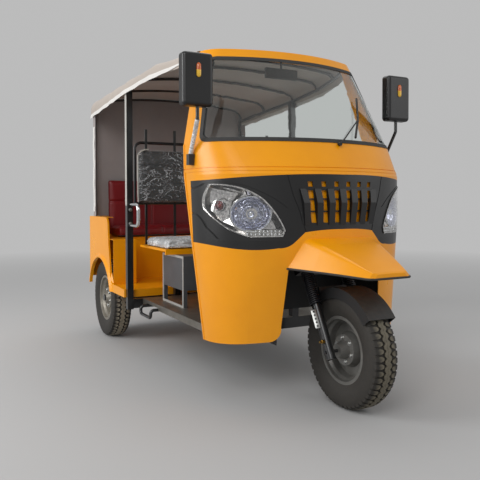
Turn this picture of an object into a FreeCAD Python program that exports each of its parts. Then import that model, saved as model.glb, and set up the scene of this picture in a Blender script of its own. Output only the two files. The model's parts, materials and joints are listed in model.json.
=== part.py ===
import FreeCAD, Part
import math
import os
import Sketcher
from FreeCAD import Placement, Rotation, Vector

# Three-wheeled passenger auto rickshaw.
# Millimetres. X to the vehicle's left, -Y ahead, +Z up. The origin is on the ground
# under the middle of the overall length and width.

# Driving sizes: name, value, what it is
SIZES = [
    ("wheelbase", 2137, "front axle to rear axle"),
    ("beak_reach", 300, "front axle to the tip of the beak"),
    ("rear_reach", 333, "rear axle to the back of the bumper"),
    ("track", 1152, "middle of one rear tyre to the middle of the other"),
    ("tyre_radius", 285, "ground to axle, out to the tread"),
    ("tyre_width", 140, "widest part of the tyre"),
    ("tread_depth", 11, "depth of the tyre's grooves"),
    ("rib_half", 18, "half width of the tread's middle ribs"),
    ("lug_inner", 23, "where the shoulder lugs begin, from the tyre's middle"),
    ("lug_outer", 66, "where the shoulder lugs end"),
    ("lug_floor", 262, "radius of the carcass under the shoulder lugs"),
    ("lug_count", 52, "shoulder lugs round one side of a tyre"),
    ("lug_share", 0.72, "share of the pitch that a lug takes"),
    ("bead_radius", 156, "where the tyre sits on its rim"),
    ("rim_radius", 170, "outer edge of the rim flange"),
    ("rim_width", 104, "over the rim flanges"),
    ("rim_sheet", 5, "thickness of the rolled rim"),
    ("hub_radius", 46, "wheel hub"),
    ("hub_length", 150, "front wheel hub, over its ends"),
    ("axle_radius", 8, "front wheel spindle"),
    ("stub_radius", 14, "rear wheel stub shaft"),
    ("running_fit", 0.06, "radial clearance of a hub on its spindle"),
    ("seat_gap", 0.3, "assembly gap between neighbouring pieces"),
    ("lining_gap", 0.5, "gap between the front shell and what lines it"),
    ("lamp_inner", 300, "how far from the middle a headlamp begins"),
    ("rake", 28, "fork angle from upright, in degrees"),
    ("fork_offset", 40, "steering axis behind the fork legs"),
    ("leg_spacing", 240, "fork leg to fork leg"),
    ("leg_radius", 17, "fork stanchion"),
    ("sleeve_radius", 23, "lower fork sleeve"),
    ("sleeve_top", 235, "axle to the top of the lower sleeve, along the fork"),
    ("spring_top", 420, "axle to the top of the fork spring, along the fork"),
    ("spring_radius", 28, "middle of the spring's wire"),
    ("spring_wire", 5, "half thickness of the spring's wire"),
    ("spring_coils", 13, "coils of a fork spring"),
    ("yoke_sheet", 26, "thickness of a fork yoke"),
    ("yoke_upper", 500, "axle to the upper yoke, along the fork"),
    ("stem_radius", 16, "steering stem"),
    ("post_top", 930, "top of the post that carries the steering head"),
    ("stem_top", 905, "axle to the top of the stem, along the fork"),
    ("head_low", 632, "axle to the foot of the steering head, along the fork"),
    ("head_high", 800, "axle to the top of the steering head, along the fork"),
    ("head_radius", 30, "outside of the steering head"),
    ("head_clearance", 0.06, "running clearance of the stem in its head"),
    ("bar_radius", 11, "handlebar tube"),
    ("grip_radius", 17, "handlebar grip"),
    ("bar_half", 335, "middle to the end of the handlebar"),
    ("bar_sweep", 125, "how far the grips lie behind the stem"),
    ("guard_gap", 16, "tyre to the front mudguard"),
    ("guard_sheet", 4, "thickness of the front mudguard"),
    ("cowl_wall", 5, "thickness of the front shell"),
    ("trim_wall", 4, "thickness of the black lamp band"),
    ("grille_depth", 14, "how far the cooling duct lies behind the band"),
    ("seam_height", 1175, "seam between front shell and nose panel"),
    ("seam_groove", 4, "height of the groove under the nose panel"),
    ("groove_depth", 3, "depth of the grooves in the front's panels"),
    ("groove_width", 5, "width of the grooves pressed into the lamp band"),
    ("bead_height", 14, "rolled bead along the top of the front shell"),
    ("bead_proud", 2, "how far the bead stands out"),
    ("flange_width", 14, "flange along the front's rear edges"),
    ("flange_proud", 3, "how far that flange stands out"),
    ("post_depth", 22, "depth of the windscreen posts"),
    ("gasket_width", 20, "rubber round the windscreen"),
    ("glass_wall", 5, "thickness of the windscreen"),
    ("band_back", 520, "rear end of the lamp band, behind the front axle"),
    ("arch_half", 280, "half width of the front wheel opening at its top"),
    ("arch_foot", 303, "half width of the front wheel opening at its foot"),
    ("beak_edge", 685, "height of the beak's lower edge"),
    ("beak_root", 845, "height of the beak's top where it leaves the shell"),
    ("beak_half", 292, "half width of the beak's lower edge at the shell"),
    ("beak_crease", 225, "half width of the beak's top at the shell"),
    ("beak_tip_half", 119, "half width of the beak's tip"),
    ("beak_wall", 4, "thickness of the beak"),
    ("lamp_depth", 70, "depth of a headlamp housing"),
    ("well_half", 318, "half width of the front wheel well"),
    ("well_back", 485, "rear wall of the wheel well, behind the front axle"),
    ("well_top", 800, "top of the wheel well"),
    ("sheet", 3, "thickness of floor and tub sheet"),
    ("rail_half", 300, "middle of a frame rail from the middle of the vehicle"),
    ("rail_width", 40, "width of a frame rail"),
    ("rail_height", 60, "height of a frame rail"),
    ("floor_top", 365, "driver's floor above the ground"),
    ("floor_half", 552, "half width of the driver's floor"),
    ("step_top", 420, "passenger floor above the ground"),
    ("pillar_back", 1518, "door pillar behind the front axle"),
    ("pillar_half", 635, "door pillar from the middle of the vehicle"),
    ("pillar_width", 40, "side of the square door pillar"),
    ("tub_half", 655, "half width of the passenger tub"),
    ("quarter_wall", 12, "thickness of a rear quarter"),
    ("house_front", 307, "wheelhouse front wall ahead of the rear axle"),
    ("house_half", 490, "wheelhouse inner wall from the middle of the vehicle"),
    ("riser_front", 57, "seat riser ahead of the rear axle"),
    ("deck_top", 738, "seat deck above the ground"),
    ("quarter_top", 893, "top of a rear quarter"),
    ("tail_back", 305, "tail panel behind the rear axle"),
    ("arch_radius", 292, "rear wheel arch"),
    ("bench_top", 712, "driver's seat board above the ground"),
    ("bench_half", 520, "half width of the driver's seat board"),
    ("bench_front", 1150, "front of the driver's seat board, behind the front axle"),
    ("bench_depth", 470, "driver's seat board, front to back"),
    ("board_sheet", 14, "thickness of the driver's seat board"),
    ("board_lip", 34, "depth of the seat board's front lip"),
    ("cushion_height", 55, "driver's cushion"),
    ("back_foot", 985, "foot of the driver's backrest"),
    ("back_head", 1372, "top of the driver's backrest"),
    ("back_half", 570, "half width of the driver's backrest"),
    ("back_thick", 60, "thickness of the driver's backrest"),
    ("back_lead", 58, "backrest's front face ahead of the seat board's rear edge"),
    ("hoop_radius", 10, "tube hoop behind the driver's backrest"),
    ("stay_top", 1502, "top of the flat stays behind the driver's backrest"),
    ("box_half", 460, "half width of the engine cover under the driver's seat"),
    ("box_foot", 470, "foot of the engine cover's mesh sides"),
    ("leg_side", 24, "side of the engine cover's square legs"),
    ("engine_ahead", 76, "engine block's front ahead of the seat board's front"),
    ("engine_behind", 176, "engine block's back behind the seat board's front"),
    ("engine_half", 150, "half width of the engine block"),
    ("rear_seat_height", 85, "passenger cushion"),
    ("rear_seat_half", 560, "half width of the passenger seat"),
    ("rear_back_head", 1190, "top of the passenger backrest"),
    ("rear_back_thick", 62, "thickness of the passenger backrest"),
    ("canopy_wall", 4, "canopy cloth with its lining"),
    ("bow_radius", 9, "roof bow tube"),
    ("rail_tube", 11, "roof side rail tube"),
    ("rail_rise", 24, "roof side rail above the canopy's hem"),
    ("mirror_width", 165, "mirror housing"),
    ("mirror_height", 265, "mirror housing"),
    ("mirror_depth", 55, "mirror housing"),
    ("mirror_half", 643, "middle of a mirror from the middle of the vehicle"),
    ("mirror_centre", 1612, "middle of a mirror above the ground"),
    ("brow_sheet", 6, "thickness of the brow that closes the windscreen frame"),
    ("bumper_radius", 19, "rear bumper tube"),
    ("bumper_height", 378, "middle of the rear bumper above the ground"),
    ("bumper_half", 560, "half width of the rear bumper"),
    ("bumper_arm", 250, "bumper's arms from the middle of the vehicle"),
    ("tow_radius", 11, "bore of the rear tow eye"),
    ("eye_radius", 24, "outside of the rear tow eye"),
    ("eye_length", 30, "length of the tow eye's bore"),
]

# Plan sections of the front shell, from sill to brow: name, height, half width,
# nose (front middle behind the front axle), corner radius, sweep radius of the front,
# rear edge behind the front axle
COWL = [
    ("sill", 290, 573, 100, 260, 850, 465),
    ("lamp", 820, 608, 55, 360, 850, 540),
    ("band", 1145, 622, 57, 360, 850, 600),
    ("glass", 1310, 620, 160, 280, 900, 612),
    ("header", 1785, 505, 465, 150, 1000, 700),
    ("brow", 1832, 490, 492, 140, 1000, 715),
]
COWL_COLUMNS = ("height", "half", "nose", "corner", "sweep", "rear")

# Cross sections of the canopy, front to back: name, distance behind the front axle,
# half width, crown height, corner radius, crown radius, hem height
CANOPY = [
    ("lip", 690, 522, 1840, 34, 30000, 1792),
    ("brim", 830, 560, 1880, 90, 4000, 1780),
    ("cab", 1130, 630, 1886, 90, 4000, 1762),
    ("door", 1518, 662, 1868, 90, 4000, 1735),
    ("stern", 2402, 662, 1850, 90, 4000, 1680),
]
CANOPY_COLUMNS = ("back", "half", "crown", "corner", "sweep", "hem")

doc = FreeCAD.newDocument("auto_rickshaw")
size = doc.addObject("Spreadsheet::Sheet", "size")


def fill_sheet():
    """Write every driving size in a row of its own, with its name as alias."""
    rows = list(SIZES)
    for prefix, table, columns in (("cowl", COWL, COWL_COLUMNS), ("canopy", CANOPY, CANOPY_COLUMNS)):
        for name, *values in table:
            for column, number in zip(columns, values):
                rows.append((f"{prefix}_{name}_{column}", number, f"{prefix} section {name}: {column}"))
    for row, (name, number, meaning) in enumerate(rows, 1):
        size.set(f"A{row}", meaning)
        size.set(f"B{row}", str(number))
        size.setAlias(f"B{row}", name)
    doc.recompute()


fill_sheet()

# Places of the two axles along the vehicle, as formulas for the sheet and as numbers
FRONT = "(size.beak_reach - size.wheelbase - size.rear_reach) / 2"
REAR = "(size.beak_reach + size.wheelbase - size.rear_reach) / 2"
MIDDLE = "size.tyre_radius"
front_y = (size.beak_reach - size.wheelbase - size.rear_reach) / 2
rear_y = (size.beak_reach + size.wheelbase - size.rear_reach) / 2
nodes = {}


# Building blocks

def keep(name, thing):
    """File a finished sub-part under its name."""
    thing.Label = name
    nodes[name] = thing


def shaped(name, shape):
    """An object that holds a shape made with Part's own functions."""
    thing = doc.addObject("Part::Feature", name)
    thing.Shape = shape
    return thing


def block(name, x, y, z):
    """A box; x, y and z are (low, high) pairs of formulas on the sheet."""
    thing = doc.addObject("Part::Box", name)
    for side, axis, (low, high) in zip(("Length", "Width", "Height"), "xyz", (x, y, z)):
        thing.setExpression(side, f"({high}) - ({low})")
        thing.setExpression(f"Placement.Base.{axis}", f"{low}")
    return thing


def across(half):
    """A (low, high) pair of formulas that is symmetric about the middle."""
    return f"-({half})", f"{half}"


TURNS = {"x": Rotation(Vector(0, 1, 0), 90), "y": Rotation(Vector(1, 0, 0), -90), "z": Rotation()}


def rod(name, radius, length, base, axis="z"):
    """A cylinder from base along axis; sizes and base are formulas."""
    thing = doc.addObject("Part::Cylinder", name)
    thing.Placement = Placement(Vector(), TURNS[axis])
    thing.setExpression("Radius", f"{radius}")
    thing.setExpression("Height", f"{length}")
    for letter, place in zip("xyz", base):
        thing.setExpression(f"Placement.Base.{letter}", f"{place}")
    return thing


def fuse(name, things):
    """The union of several objects."""
    thing = doc.addObject("Part::MultiFuse", name)
    thing.Shapes = things
    return thing


def cut(name, base, tool):
    """One object less another."""
    thing = doc.addObject("Part::Cut", name)
    thing.Base = base
    thing.Tool = tool
    return thing


def mirrored(name, source):
    """The other side's copy of an object."""
    thing = doc.addObject("Part::Mirroring", name)
    thing.Source = source
    thing.Normal = Vector(1, 0, 0)
    return thing


def pair(name, source):
    """An object and its copy on the other side, in one."""
    return fuse(name, [source, mirrored(f"{name}_other", source)])


def new_body(name):
    """A PartDesign body."""
    return doc.addObject("PartDesign::Body", name)


def own_plane(body, role):
    """One of the body's own origin planes or axes."""
    return [thing for thing in body.Origin.OriginFeatures if thing.Role == role][0]


def profile(body, role, corners, label):
    """A closed sketch of straight lines whose corners are pairs of formulas."""
    sketch = body.newObject("Sketcher::SketchObject", label)
    sketch.AttachmentSupport = [(own_plane(body, role), "")]
    sketch.MapMode = "FlatFace"
    places = [Vector(size.evalExpression(f"{a}"), size.evalExpression(f"{b}"), 0) for a, b in corners]
    count = len(places)
    for number in range(count):
        sketch.addGeometry(Part.LineSegment(places[number], places[(number + 1) % count]))
    for number in range(count):
        sketch.addConstraint(Sketcher.Constraint("Coincident", number, 2, (number + 1) % count, 1))
    for number, (corner, place) in enumerate(zip(corners, places)):
        for kind, formula, value in zip(("DistanceX", "DistanceY"), corner, (place.x, place.y)):
            index = sketch.addConstraint(Sketcher.Constraint(kind, -1, 1, number, 1, value))
            sketch.setExpression(f"Constraints[{index}]", f"{formula}")
    return sketch


def revolved(name, corners, y_formula, x_formula="0"):
    """A body: a profile (across, radius) turned about its wheel axis."""
    body = new_body(name)
    turn = body.newObject("PartDesign::Revolution", f"{name}_turn")
    turn.Profile = profile(body, "XZ_Plane", corners, f"{name}_profile")
    turn.ReferenceAxis = (own_plane(body, "X_Axis"), [""])
    turn.Angle = 360
    body.Tip = turn
    body.setExpression("Placement.Base.x", x_formula)
    body.setExpression("Placement.Base.y", y_formula)
    body.setExpression("Placement.Base.z", MIDDLE)
    return body


# Curves and shells

def flat_wire(steps, place):
    """A closed wire; a step is a corner (a, b), or ((a, b), (a, b)) for an arc by way of a point."""
    ends = [step if not isinstance(step[0], tuple) else step[1] for step in steps]
    edges = []
    for number, step in enumerate(steps):
        start = place(*ends[number - 1])
        if isinstance(step[0], tuple):
            edges.append(Part.Arc(start, place(*step[0]), place(*step[1])).toShape())
        else:
            edges.append(Part.LineSegment(start, place(*step)).toShape())
    return Part.Wire(edges)


def front_prism(steps, low_y, high_y, grow=0.0):
    """A front view outline (x, z) carried back from low_y to high_y."""
    wire = flat_wire(steps, lambda a, b: Vector(a, low_y, b))
    if grow:
        wire = wire.makeOffset2D(grow, 2)
    return Part.Face(wire).extrude(Vector(0, high_y - low_y, 0))


def side_prism(steps, half, grow=0.0):
    """A side view outline (y, z) carried across from -half to half."""
    wire = flat_wire(steps, lambda a, b: Vector(-half, a, b))
    if grow:
        wire = wire.makeOffset2D(grow, 2)
    return Part.Face(wire).extrude(Vector(2 * half, 0, 0))


def mirror_steps(steps):
    """The right half's steps, followed back up the left half."""
    ends = [step if not isinstance(step[0], tuple) else step[1] for step in steps]
    back = []
    for number in range(len(steps) - 1, -1, -1):
        step = steps[number]
        a, b = ends[number]
        if number == len(steps) - 1:
            back.append((-a, b))
            continue
        after = steps[number + 1]
        if isinstance(after[0], tuple):
            back.append(((-after[0][0], after[0][1]), (-a, b)))
        else:
            back.append((-a, b))
    return list(steps) + back


def arch_edges(half, crown, corner, sweep, base, place):
    """An arch of straight sides, round corners and a shallow crown, all tangent."""
    across_centre = half - corner
    crown_centre = crown - sweep
    reach = math.sqrt((sweep - corner) ** 2 - across_centre ** 2)
    corner_centre = crown_centre + reach
    angle = math.atan2(reach, across_centre)
    side = (half, corner_centre)
    shoulder = (across_centre + corner * math.cos(angle / 2), corner_centre + corner * math.sin(angle / 2))
    top = (sweep * math.cos(angle), crown_centre + sweep * math.sin(angle))
    spots = [(half, base), side, shoulder, top, (0, crown)]
    right = [place(*spot) for spot in spots]
    left = [place(-a, b) for a, b in spots]
    return [
        Part.LineSegment(right[0], right[1]).toShape(),
        Part.Arc(right[1], right[2], right[3]).toShape(),
        Part.Arc(right[3], right[4], left[3]).toShape(),
        Part.Arc(left[3], left[2], left[1]).toShape(),
        Part.LineSegment(left[1], left[0]).toShape(),
    ]


def ends_of(edges):
    """First and last point of an arch."""
    return edges[0].Vertexes[0].Point, edges[-1].Vertexes[-1].Point


def arch_wire(edges):
    """An arch closed across its foot."""
    first, last = ends_of(edges)
    return Part.Wire(edges + [Part.LineSegment(last, first).toShape()])


def wall_wire(outer, inner):
    """A closed strip between two arches."""
    outer_first, outer_last = ends_of(outer)
    inner_first, inner_last = ends_of(inner)
    foot = Part.LineSegment(outer_last, inner_last).toShape()
    other_foot = Part.LineSegment(inner_first, outer_first).toShape()
    return Part.Wire(outer + [foot] + inner[::-1] + [other_foot])


def outward(solid):
    """A solid whose faces point outwards."""
    return solid.reversed() if solid.Volume < 0 else solid


def table_rows(prefix, table, columns):
    """The sheet's values of one section table."""
    return [[getattr(size, f"{prefix}_{name}_{column}") for column in columns] for name, *rest in table]


def between(rows, place):
    """The section values at a place, in step between the two nearest rows."""
    for low, high in zip(rows, rows[1:]):
        if place <= high[0] or high is rows[-1]:
            share = (place - low[0]) / (high[0] - low[0])
            return [a + share * (b - a) for a, b in zip(low, high)]


COWL_ROWS = table_rows("cowl", COWL, COWL_COLUMNS)
CANOPY_ROWS = table_rows("canopy", CANOPY, CANOPY_COLUMNS)


def cowl_section(height, inset, extra=0.0):
    """A plan section of the front shell, inset from its outside, its open end drawn back by extra."""
    place, half, nose, corner, sweep, rear = between(COWL_ROWS, height)
    return arch_edges(half - inset, -nose - inset, corner - inset, sweep - inset, -rear - extra,
                      lambda a, b: Vector(a, front_y - b, height))


def cowl_heights(low, high):
    """Two heights and the table's heights between them."""
    return [low] + [row[0] for row in COWL_ROWS if low < row[0] < high] + [high]


def cowl_block(low, high, inset, extra=0.0):
    """The front shell's form as one block between two heights."""
    wires = [arch_wire(cowl_section(height, inset, extra)) for height in cowl_heights(low, high)]
    return Part.makeLoft(wires, True, True)


def cowl_skin(low, high, outer, inner):
    """A wall of the front shell's form, between two insets."""
    wires = [wall_wire(cowl_section(height, outer), cowl_section(height, inner))
             for height in cowl_heights(low, high)]
    return Part.makeLoft(wires, True, True)


def cowl_front(across_place, height, inset=0.0):
    """How far along the vehicle the front shell's surface lies at a place."""
    place, half, nose, corner, sweep, rear = between(COWL_ROWS, height)
    return front_y + nose + sweep - math.sqrt((sweep - inset) ** 2 - across_place ** 2)


def round_tube(edges, radius):
    """A round tube along lines and arcs: a cylinder for each line, a turned ring for each arc."""
    lengths = []
    for edge in edges:
        start = edge.valueAt(edge.FirstParameter)
        ahead = edge.tangentAt(edge.FirstParameter)
        if isinstance(edge.Curve, Part.Circle):
            disc = Part.Face(Part.Wire(Part.makeCircle(radius, start, ahead)))
            turn = math.degrees(edge.LastParameter - edge.FirstParameter)
            lengths.append(disc.revolve(edge.Curve.Center, edge.Curve.Axis, turn))
        else:
            lengths.append(Part.makeCylinder(radius, edge.Length, start, ahead))
    return lengths[0].fuse([outward(length) for length in lengths[1:]])


def bent_tube(points, radius, bend):
    """A round tube along points, with a tangent arc of the given radius at each turn."""
    spots = [Vector(*point) for point in points]
    edges = []
    start = spots[0]
    for before, corner, after in zip(spots, spots[1:], spots[2:]):
        back = (before - corner).normalize()
        on = (after - corner).normalize()
        turn = math.pi - back.getAngle(on)
        inset = bend * math.tan(turn / 2)
        middle = (back + on).normalize()
        first = corner + back * inset
        second = corner + on * inset
        apex = corner + middle * (bend / math.cos(turn / 2) - bend)
        edges.append(Part.LineSegment(start, first).toShape())
        edges.append(Part.Arc(first, apex, second).toShape())
        start = second
    edges.append(Part.LineSegment(start, spots[-1]).toShape())
    return round_tube(edges, radius)


MITRED = 1


def jointed_tube(points, radius):
    """A round tube of straight lengths, mitred at slight turns."""
    spots = [Vector(*point) for point in points]
    circle = Part.Wire(Part.makeCircle(radius, spots[0], spots[1] - spots[0]))
    return outward(Part.makePolygon(spots).makePipeShell([circle], True, False, MITRED))


def flip(shape):
    """A shape's copy on the other side."""
    return shape.mirror(Vector(0, 0, 0), Vector(1, 0, 0))


def both(shape):
    """A shape and its copy on the other side."""
    return Part.makeCompound([shape, flip(shape)])


# Outlines of the front, in front view (x, z)

AHEAD = front_y - 400
BAND_REAR = front_y + size.band_back


def band_outline():
    """The black band round lamps and grille."""
    right = [((110, 870), (205, 860)), (262, 806), ((292, 789), (330, 784)), ((470, 777), (660, 818)),
             (660, 1112), ((330, 1138), (0, 1143))]
    left = [((-330, 1138), (-660, 1112)), (-660, 818), ((-470, 777), (-330, 784)),
            ((-292, 789), (-262, 806)), (-205, 860), ((-110, 870), (0, 872))]
    return right + left


def lamp_outline():
    """The right-hand headlamp's lens, on the vehicle's left."""
    return [((606, 1040), (594, 1098)), ((470, 1070), (392, 1018)), ((345, 958), (301, 872)),
            (312, 840), (448, 838), ((540, 880), (604, 972))]


def window_outline():
    """The grille's window in the band."""
    return mirror_steps([(206, 884), (218, 905), (262, 1105), (246, 1128)])


def arch_outline():
    """What is left open below the front shell: the wheel opening and the swept sill."""
    top = size.beak_edge
    foot = size.arch_foot
    return mirror_steps([(size.arch_half, top), (foot, 395), ((foot + 12, 342), (foot + 58, 320)),
                         (640, 296), (640, 200)])


# Grooves pressed into the band over each lamp, on the vehicle's left (x, z)
BROW_GROOVE = [(640, 955), (627, 1068), (605, 1100), (560, 1105), (473, 1087), (395, 1050), (344, 1020),
               (293, 980)]
CHEEK_GROOVE = [(613, 955), (594, 879), (564, 826)]
PANEL_GROOVE = [(295, 1150), (265, 1041), (232, 957), (203, 860)]


def ribbon(points, width):
    """A strip of the given width along points in front view, carried through the front."""
    pieces = []
    for (a, b), (c, e) in zip(points, points[1:]):
        length = math.hypot(c - a, e - b)
        across_x = (b - e) / length * width / 2
        across_z = (c - a) / length * width / 2
        steps = [(a + across_x, b + across_z), (c + across_x, e + across_z),
                 (c - across_x, e - across_z), (a - across_x, b - across_z)]
        pieces.append(front_prism(steps, AHEAD, BAND_REAR))
        pieces.append(Part.makeCylinder(width / 2, BAND_REAR - AHEAD, Vector(c, AHEAD, e), Vector(0, 1, 0)))
    return pieces[0].fuse(pieces[1:-1])


def rear_flange(low, high):
    """The flange that stands out along the rear edges of the front's panels."""
    heights = cowl_heights(low, high)
    rear = [(front_y + between(COWL_ROWS, height)[5], height) for height in heights]
    steps = [(place - size.flange_width, height) for place, height in rear]
    steps += [(place + 1, height) for place, height in reversed(rear)]
    return cowl_skin(low, high, -size.flange_proud, 1).common(side_prism(steps, 700))


# Front of the vehicle

def front_shell():
    """Yellow front shell with a sunken land behind the black band and a duct behind the grille."""
    wall = size.cowl_wall
    trim = size.trim_wall
    duct = size.grille_depth
    low = size.cowl_sill_height
    seam = size.seam_height
    band = front_prism(band_outline(), AHEAD, BAND_REAR)
    land = front_prism(band_outline(), AHEAD, BAND_REAR + wall, wall)
    window = front_prism(window_outline(), AHEAD, BAND_REAR)
    mouth = front_prism(window_outline(), AHEAD, BAND_REAR, wall)
    lamp = front_prism(lamp_outline(), AHEAD, BAND_REAR)
    opening = front_prism(arch_outline(), AHEAD, front_y + size.well_back)
    sill = front_prism(arch_outline(), AHEAD, BAND_REAR + 400)
    outside = cowl_skin(low, seam, 0, wall).cut(band).cut(opening).cut(sill)
    top = min(seam, size.cowl_band_height)
    behind = cowl_skin(700, top, trim, trim + wall).common(land).cut(window).cut(lamp).cut(flip(lamp))
    floor = cowl_skin(800, top, duct, duct + wall).common(mouth)
    rim = cowl_skin(800, top, trim, duct + wall).common(mouth).cut(window)
    bead = cowl_skin(seam - size.bead_height, seam, -size.bead_proud, 1)
    flange = rear_flange(low + 8, seam).cut(sill)
    shape = outside.fuse([behind, floor, rim, bead, flange]).removeSplitter()
    keep("front_shell", shaped("front_shell", shape))


def lamp_band():
    """Black band with the lamp and grille windows cut."""
    skin = cowl_skin(700, size.seam_height, 0, size.trim_wall)
    band = skin.common(front_prism(band_outline(), AHEAD, BAND_REAR))
    lamp = front_prism(lamp_outline(), AHEAD, BAND_REAR)
    window = front_prism(window_outline(), AHEAD, BAND_REAR)
    inner = cowl_skin(700, size.seam_height, size.groove_depth, size.trim_wall + 1)
    grooves = [ribbon(points, size.groove_width).cut(inner)
               for points in (BROW_GROOVE, CHEEK_GROOVE, PANEL_GROOVE)]
    band = band.cut(grooves + [flip(groove) for groove in grooves])
    shape = band.cut([lamp, flip(lamp), window]).removeSplitter()
    keep("lamp_band", shaped("lamp_band", shape))


# Grille columns: across at the top of the slots, across at their foot
SLOT_COLUMNS = [(36, 32), (107, 97), (178, 160)]
SLAT_COLUMNS = [(0, 0), (72, 65), (142, 129), (216, 192)]
SLOT_TOP = 1064
SLOT_FOOT = 906
VENT_TOP = 1108
VENT_FOOT = 1082
FOLD_HEIGHT = 1004


def slot(top_across, foot_across, foot, top, width):
    """A slot through the band, leaning with its column."""
    steps = [(foot_across - width / 2, foot), (foot_across + width / 2, foot),
             (top_across + width / 2, top), (top_across - width / 2, top)]
    return front_prism(steps, AHEAD, front_y + 300)


def slat(top_across, foot_across):
    """A slat folded outwards at mid height."""
    wires = []
    middle_across = (top_across + foot_across) / 2
    for place, height, proud, width in ((foot_across, SLOT_FOOT - 12, 2, 34),
                                        (middle_across, FOLD_HEIGHT, 16, 36),
                                        (top_across, SLOT_TOP + 8, 3, 38)):
        face = cowl_front(abs(place), height)
        low = face - proud
        high = face + size.trim_wall
        left = place - width / 2
        right = place + width / 2
        corners = [Vector(left, low, height), Vector(right, low, height),
                   Vector(right, high, height), Vector(left, high, height)]
        wires.append(Part.makePolygon(corners + corners[:1]))
    return Part.makeLoft(wires, True, True)


def grille():
    """Black grille with folded slats, leaning slots and cross bars behind them."""
    trim = size.trim_wall
    window = front_prism(window_outline(), AHEAD, BAND_REAR)
    plate = cowl_skin(800, size.cowl_band_height, 0, trim).common(window)
    for top_across, foot_across in SLOT_COLUMNS:
        for side in (-1, 1):
            plate = plate.cut(slot(side * top_across, side * foot_across, SLOT_FOOT, SLOT_TOP, 27))
            plate = plate.cut(slot(side * top_across * 1.02, side * top_across, VENT_FOOT, VENT_TOP, 25))
    bars = cowl_skin(800, size.cowl_band_height, trim - 0.5, trim + 7).common(window)
    pieces = [plate]
    for height in (958, 1018):
        slab = Part.makeBox(2 * 200, 600, 7, Vector(-200, front_y - 100, height))
        pieces.append(bars.common(slab))
    for top_across, foot_across in SLAT_COLUMNS:
        for side in ((1,) if top_across == 0 else (-1, 1)):
            pieces.append(slat(side * top_across, side * foot_across))
    shape = pieces[0].fuse(pieces[1:]).removeSplitter()
    keep("grille", shaped("grille", shape))


def nose_panel():
    """Yellow panel from the seam up to the windscreen."""
    foot = size.seam_height + size.seam_groove
    panel = cowl_skin(foot, size.cowl_glass_height, 0, size.cowl_wall)
    rebate = cowl_skin(size.seam_height, foot, size.groove_depth, size.cowl_wall)
    flange = rear_flange(foot, size.cowl_glass_height)
    keep("nose_panel", shaped("nose_panel", panel.fuse([rebate, flange]).removeSplitter()))


def screen_outline():
    """Side view (y, z) of the windscreen opening, from ahead of it to the post's edge."""
    low = size.cowl_glass_height
    high = size.cowl_header_height
    foot = front_y + 447
    head = front_y + 604
    lean = (head - foot) / (high - low)
    corner = 45
    return [(AHEAD, low), (foot - corner, low),
            ((foot - 8, low + 12), (foot + lean * corner, low + corner)),
            (head - lean * corner, high - corner),
            ((head - 10, high - 12), (head - corner, high)), (AHEAD, high)]


def windscreen_frame():
    """Yellow posts, header and the brow that closes it."""
    low = size.cowl_glass_height
    top = size.cowl_brow_height
    ring = cowl_skin(low, top - size.brow_sheet, 0, size.post_depth)
    opening = side_prism(screen_outline(), 800)
    cap = cowl_block(top - size.brow_sheet, top, 0)
    shape = ring.cut(opening).fuse(cap).removeSplitter()
    keep("windscreen_frame", shaped("windscreen_frame", shape))


def windscreen():
    """Curved windscreen and the black rubber that holds it."""
    low = size.cowl_glass_height
    high = size.cowl_header_height
    opening = side_prism(screen_outline(), 800)
    pane = side_prism(screen_outline(), 800, -size.gasket_width)
    depth = size.glass_wall
    rubber = cowl_skin(low, high, -3, depth + 4).common(opening).cut(pane)
    glass = cowl_skin(low, high, 1, 1 + depth).common(pane)
    keep("windscreen_gasket", shaped("windscreen_gasket", rubber.removeSplitter()))
    keep("windscreen_glass", shaped("windscreen_glass", glass.removeSplitter()))


def headlamps():
    """Clear lenses and the housings that they close."""
    lens_wall = 4
    low = 780
    high = size.cowl_band_height
    prism = front_prism(lamp_outline(), AHEAD, BAND_REAR)
    room = front_prism(lamp_outline(), AHEAD, BAND_REAR, -6)
    lens = cowl_skin(low, high, -5, lens_wall - 5).common(prism)
    tray = cowl_skin(low, high, lens_wall - 5, size.lamp_depth).common(prism)
    bowl = cowl_skin(low, high, lens_wall - 6, size.lamp_depth - 5).common(room)
    keep("headlamp_lenses", shaped("headlamp_lenses", both(lens)))
    keep("headlamp_housings", shaped("headlamp_housings", both(tray.cut(bowl))))


# Sections of the beak, root to tip: share of the way, half width of the lower edge, its height,
# half width of the top's corners, height of the top, corner radius
BEAK = [
    (0.0, 292, 685, 216, 846, 40),
    (0.35, 233, 681, 178, 800, 36),
    (0.7, 172, 675, 136, 741, 26),
    (0.9, 137, 670, 110, 706, 14),
    (0.975, 121, 668, 96, 694, 9),
    (1.0, 98, 668, 76, 688, 7),
]


def beak_section(row, shrink):
    """One closed section of the beak: flat foot, leaning sides, round corners and a low crown."""
    share, foot, edge, crest, top, corner = row
    root = front_y + 130
    place = root - share * (130 + size.beak_reach - (shrink if shrink else 0))
    edge -= 5 * shrink
    foot -= 1.2 * shrink
    crest -= shrink
    top -= shrink
    down = Vector(foot - crest, 0, edge - top).normalize()
    opening = down.getAngle(Vector(-1, 0, 0))
    reach = corner / math.tan(opening / 2)
    peak = Vector(crest, place, top)
    first = peak + down * reach
    last = peak + Vector(-reach, 0, 0)
    middle = (down + Vector(-1, 0, 0)).normalize()
    apex = peak + middle * (corner / math.sin(opening / 2) - corner)
    crown = Vector(0, place, top + (top - edge) * 0.05)
    low = Vector(foot, place, edge)

    def other(spot):
        return Vector(-spot.x, spot.y, spot.z)
    return Part.Wire([
        Part.LineSegment(low, first).toShape(),
        Part.Arc(first, apex, last).toShape(),
        Part.Arc(last, crown, other(last)).toShape(),
        Part.Arc(other(last), other(apex), other(first)).toShape(),
        Part.LineSegment(other(first), other(low)).toShape(),
        Part.LineSegment(other(low), low).toShape(),
    ])


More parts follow.
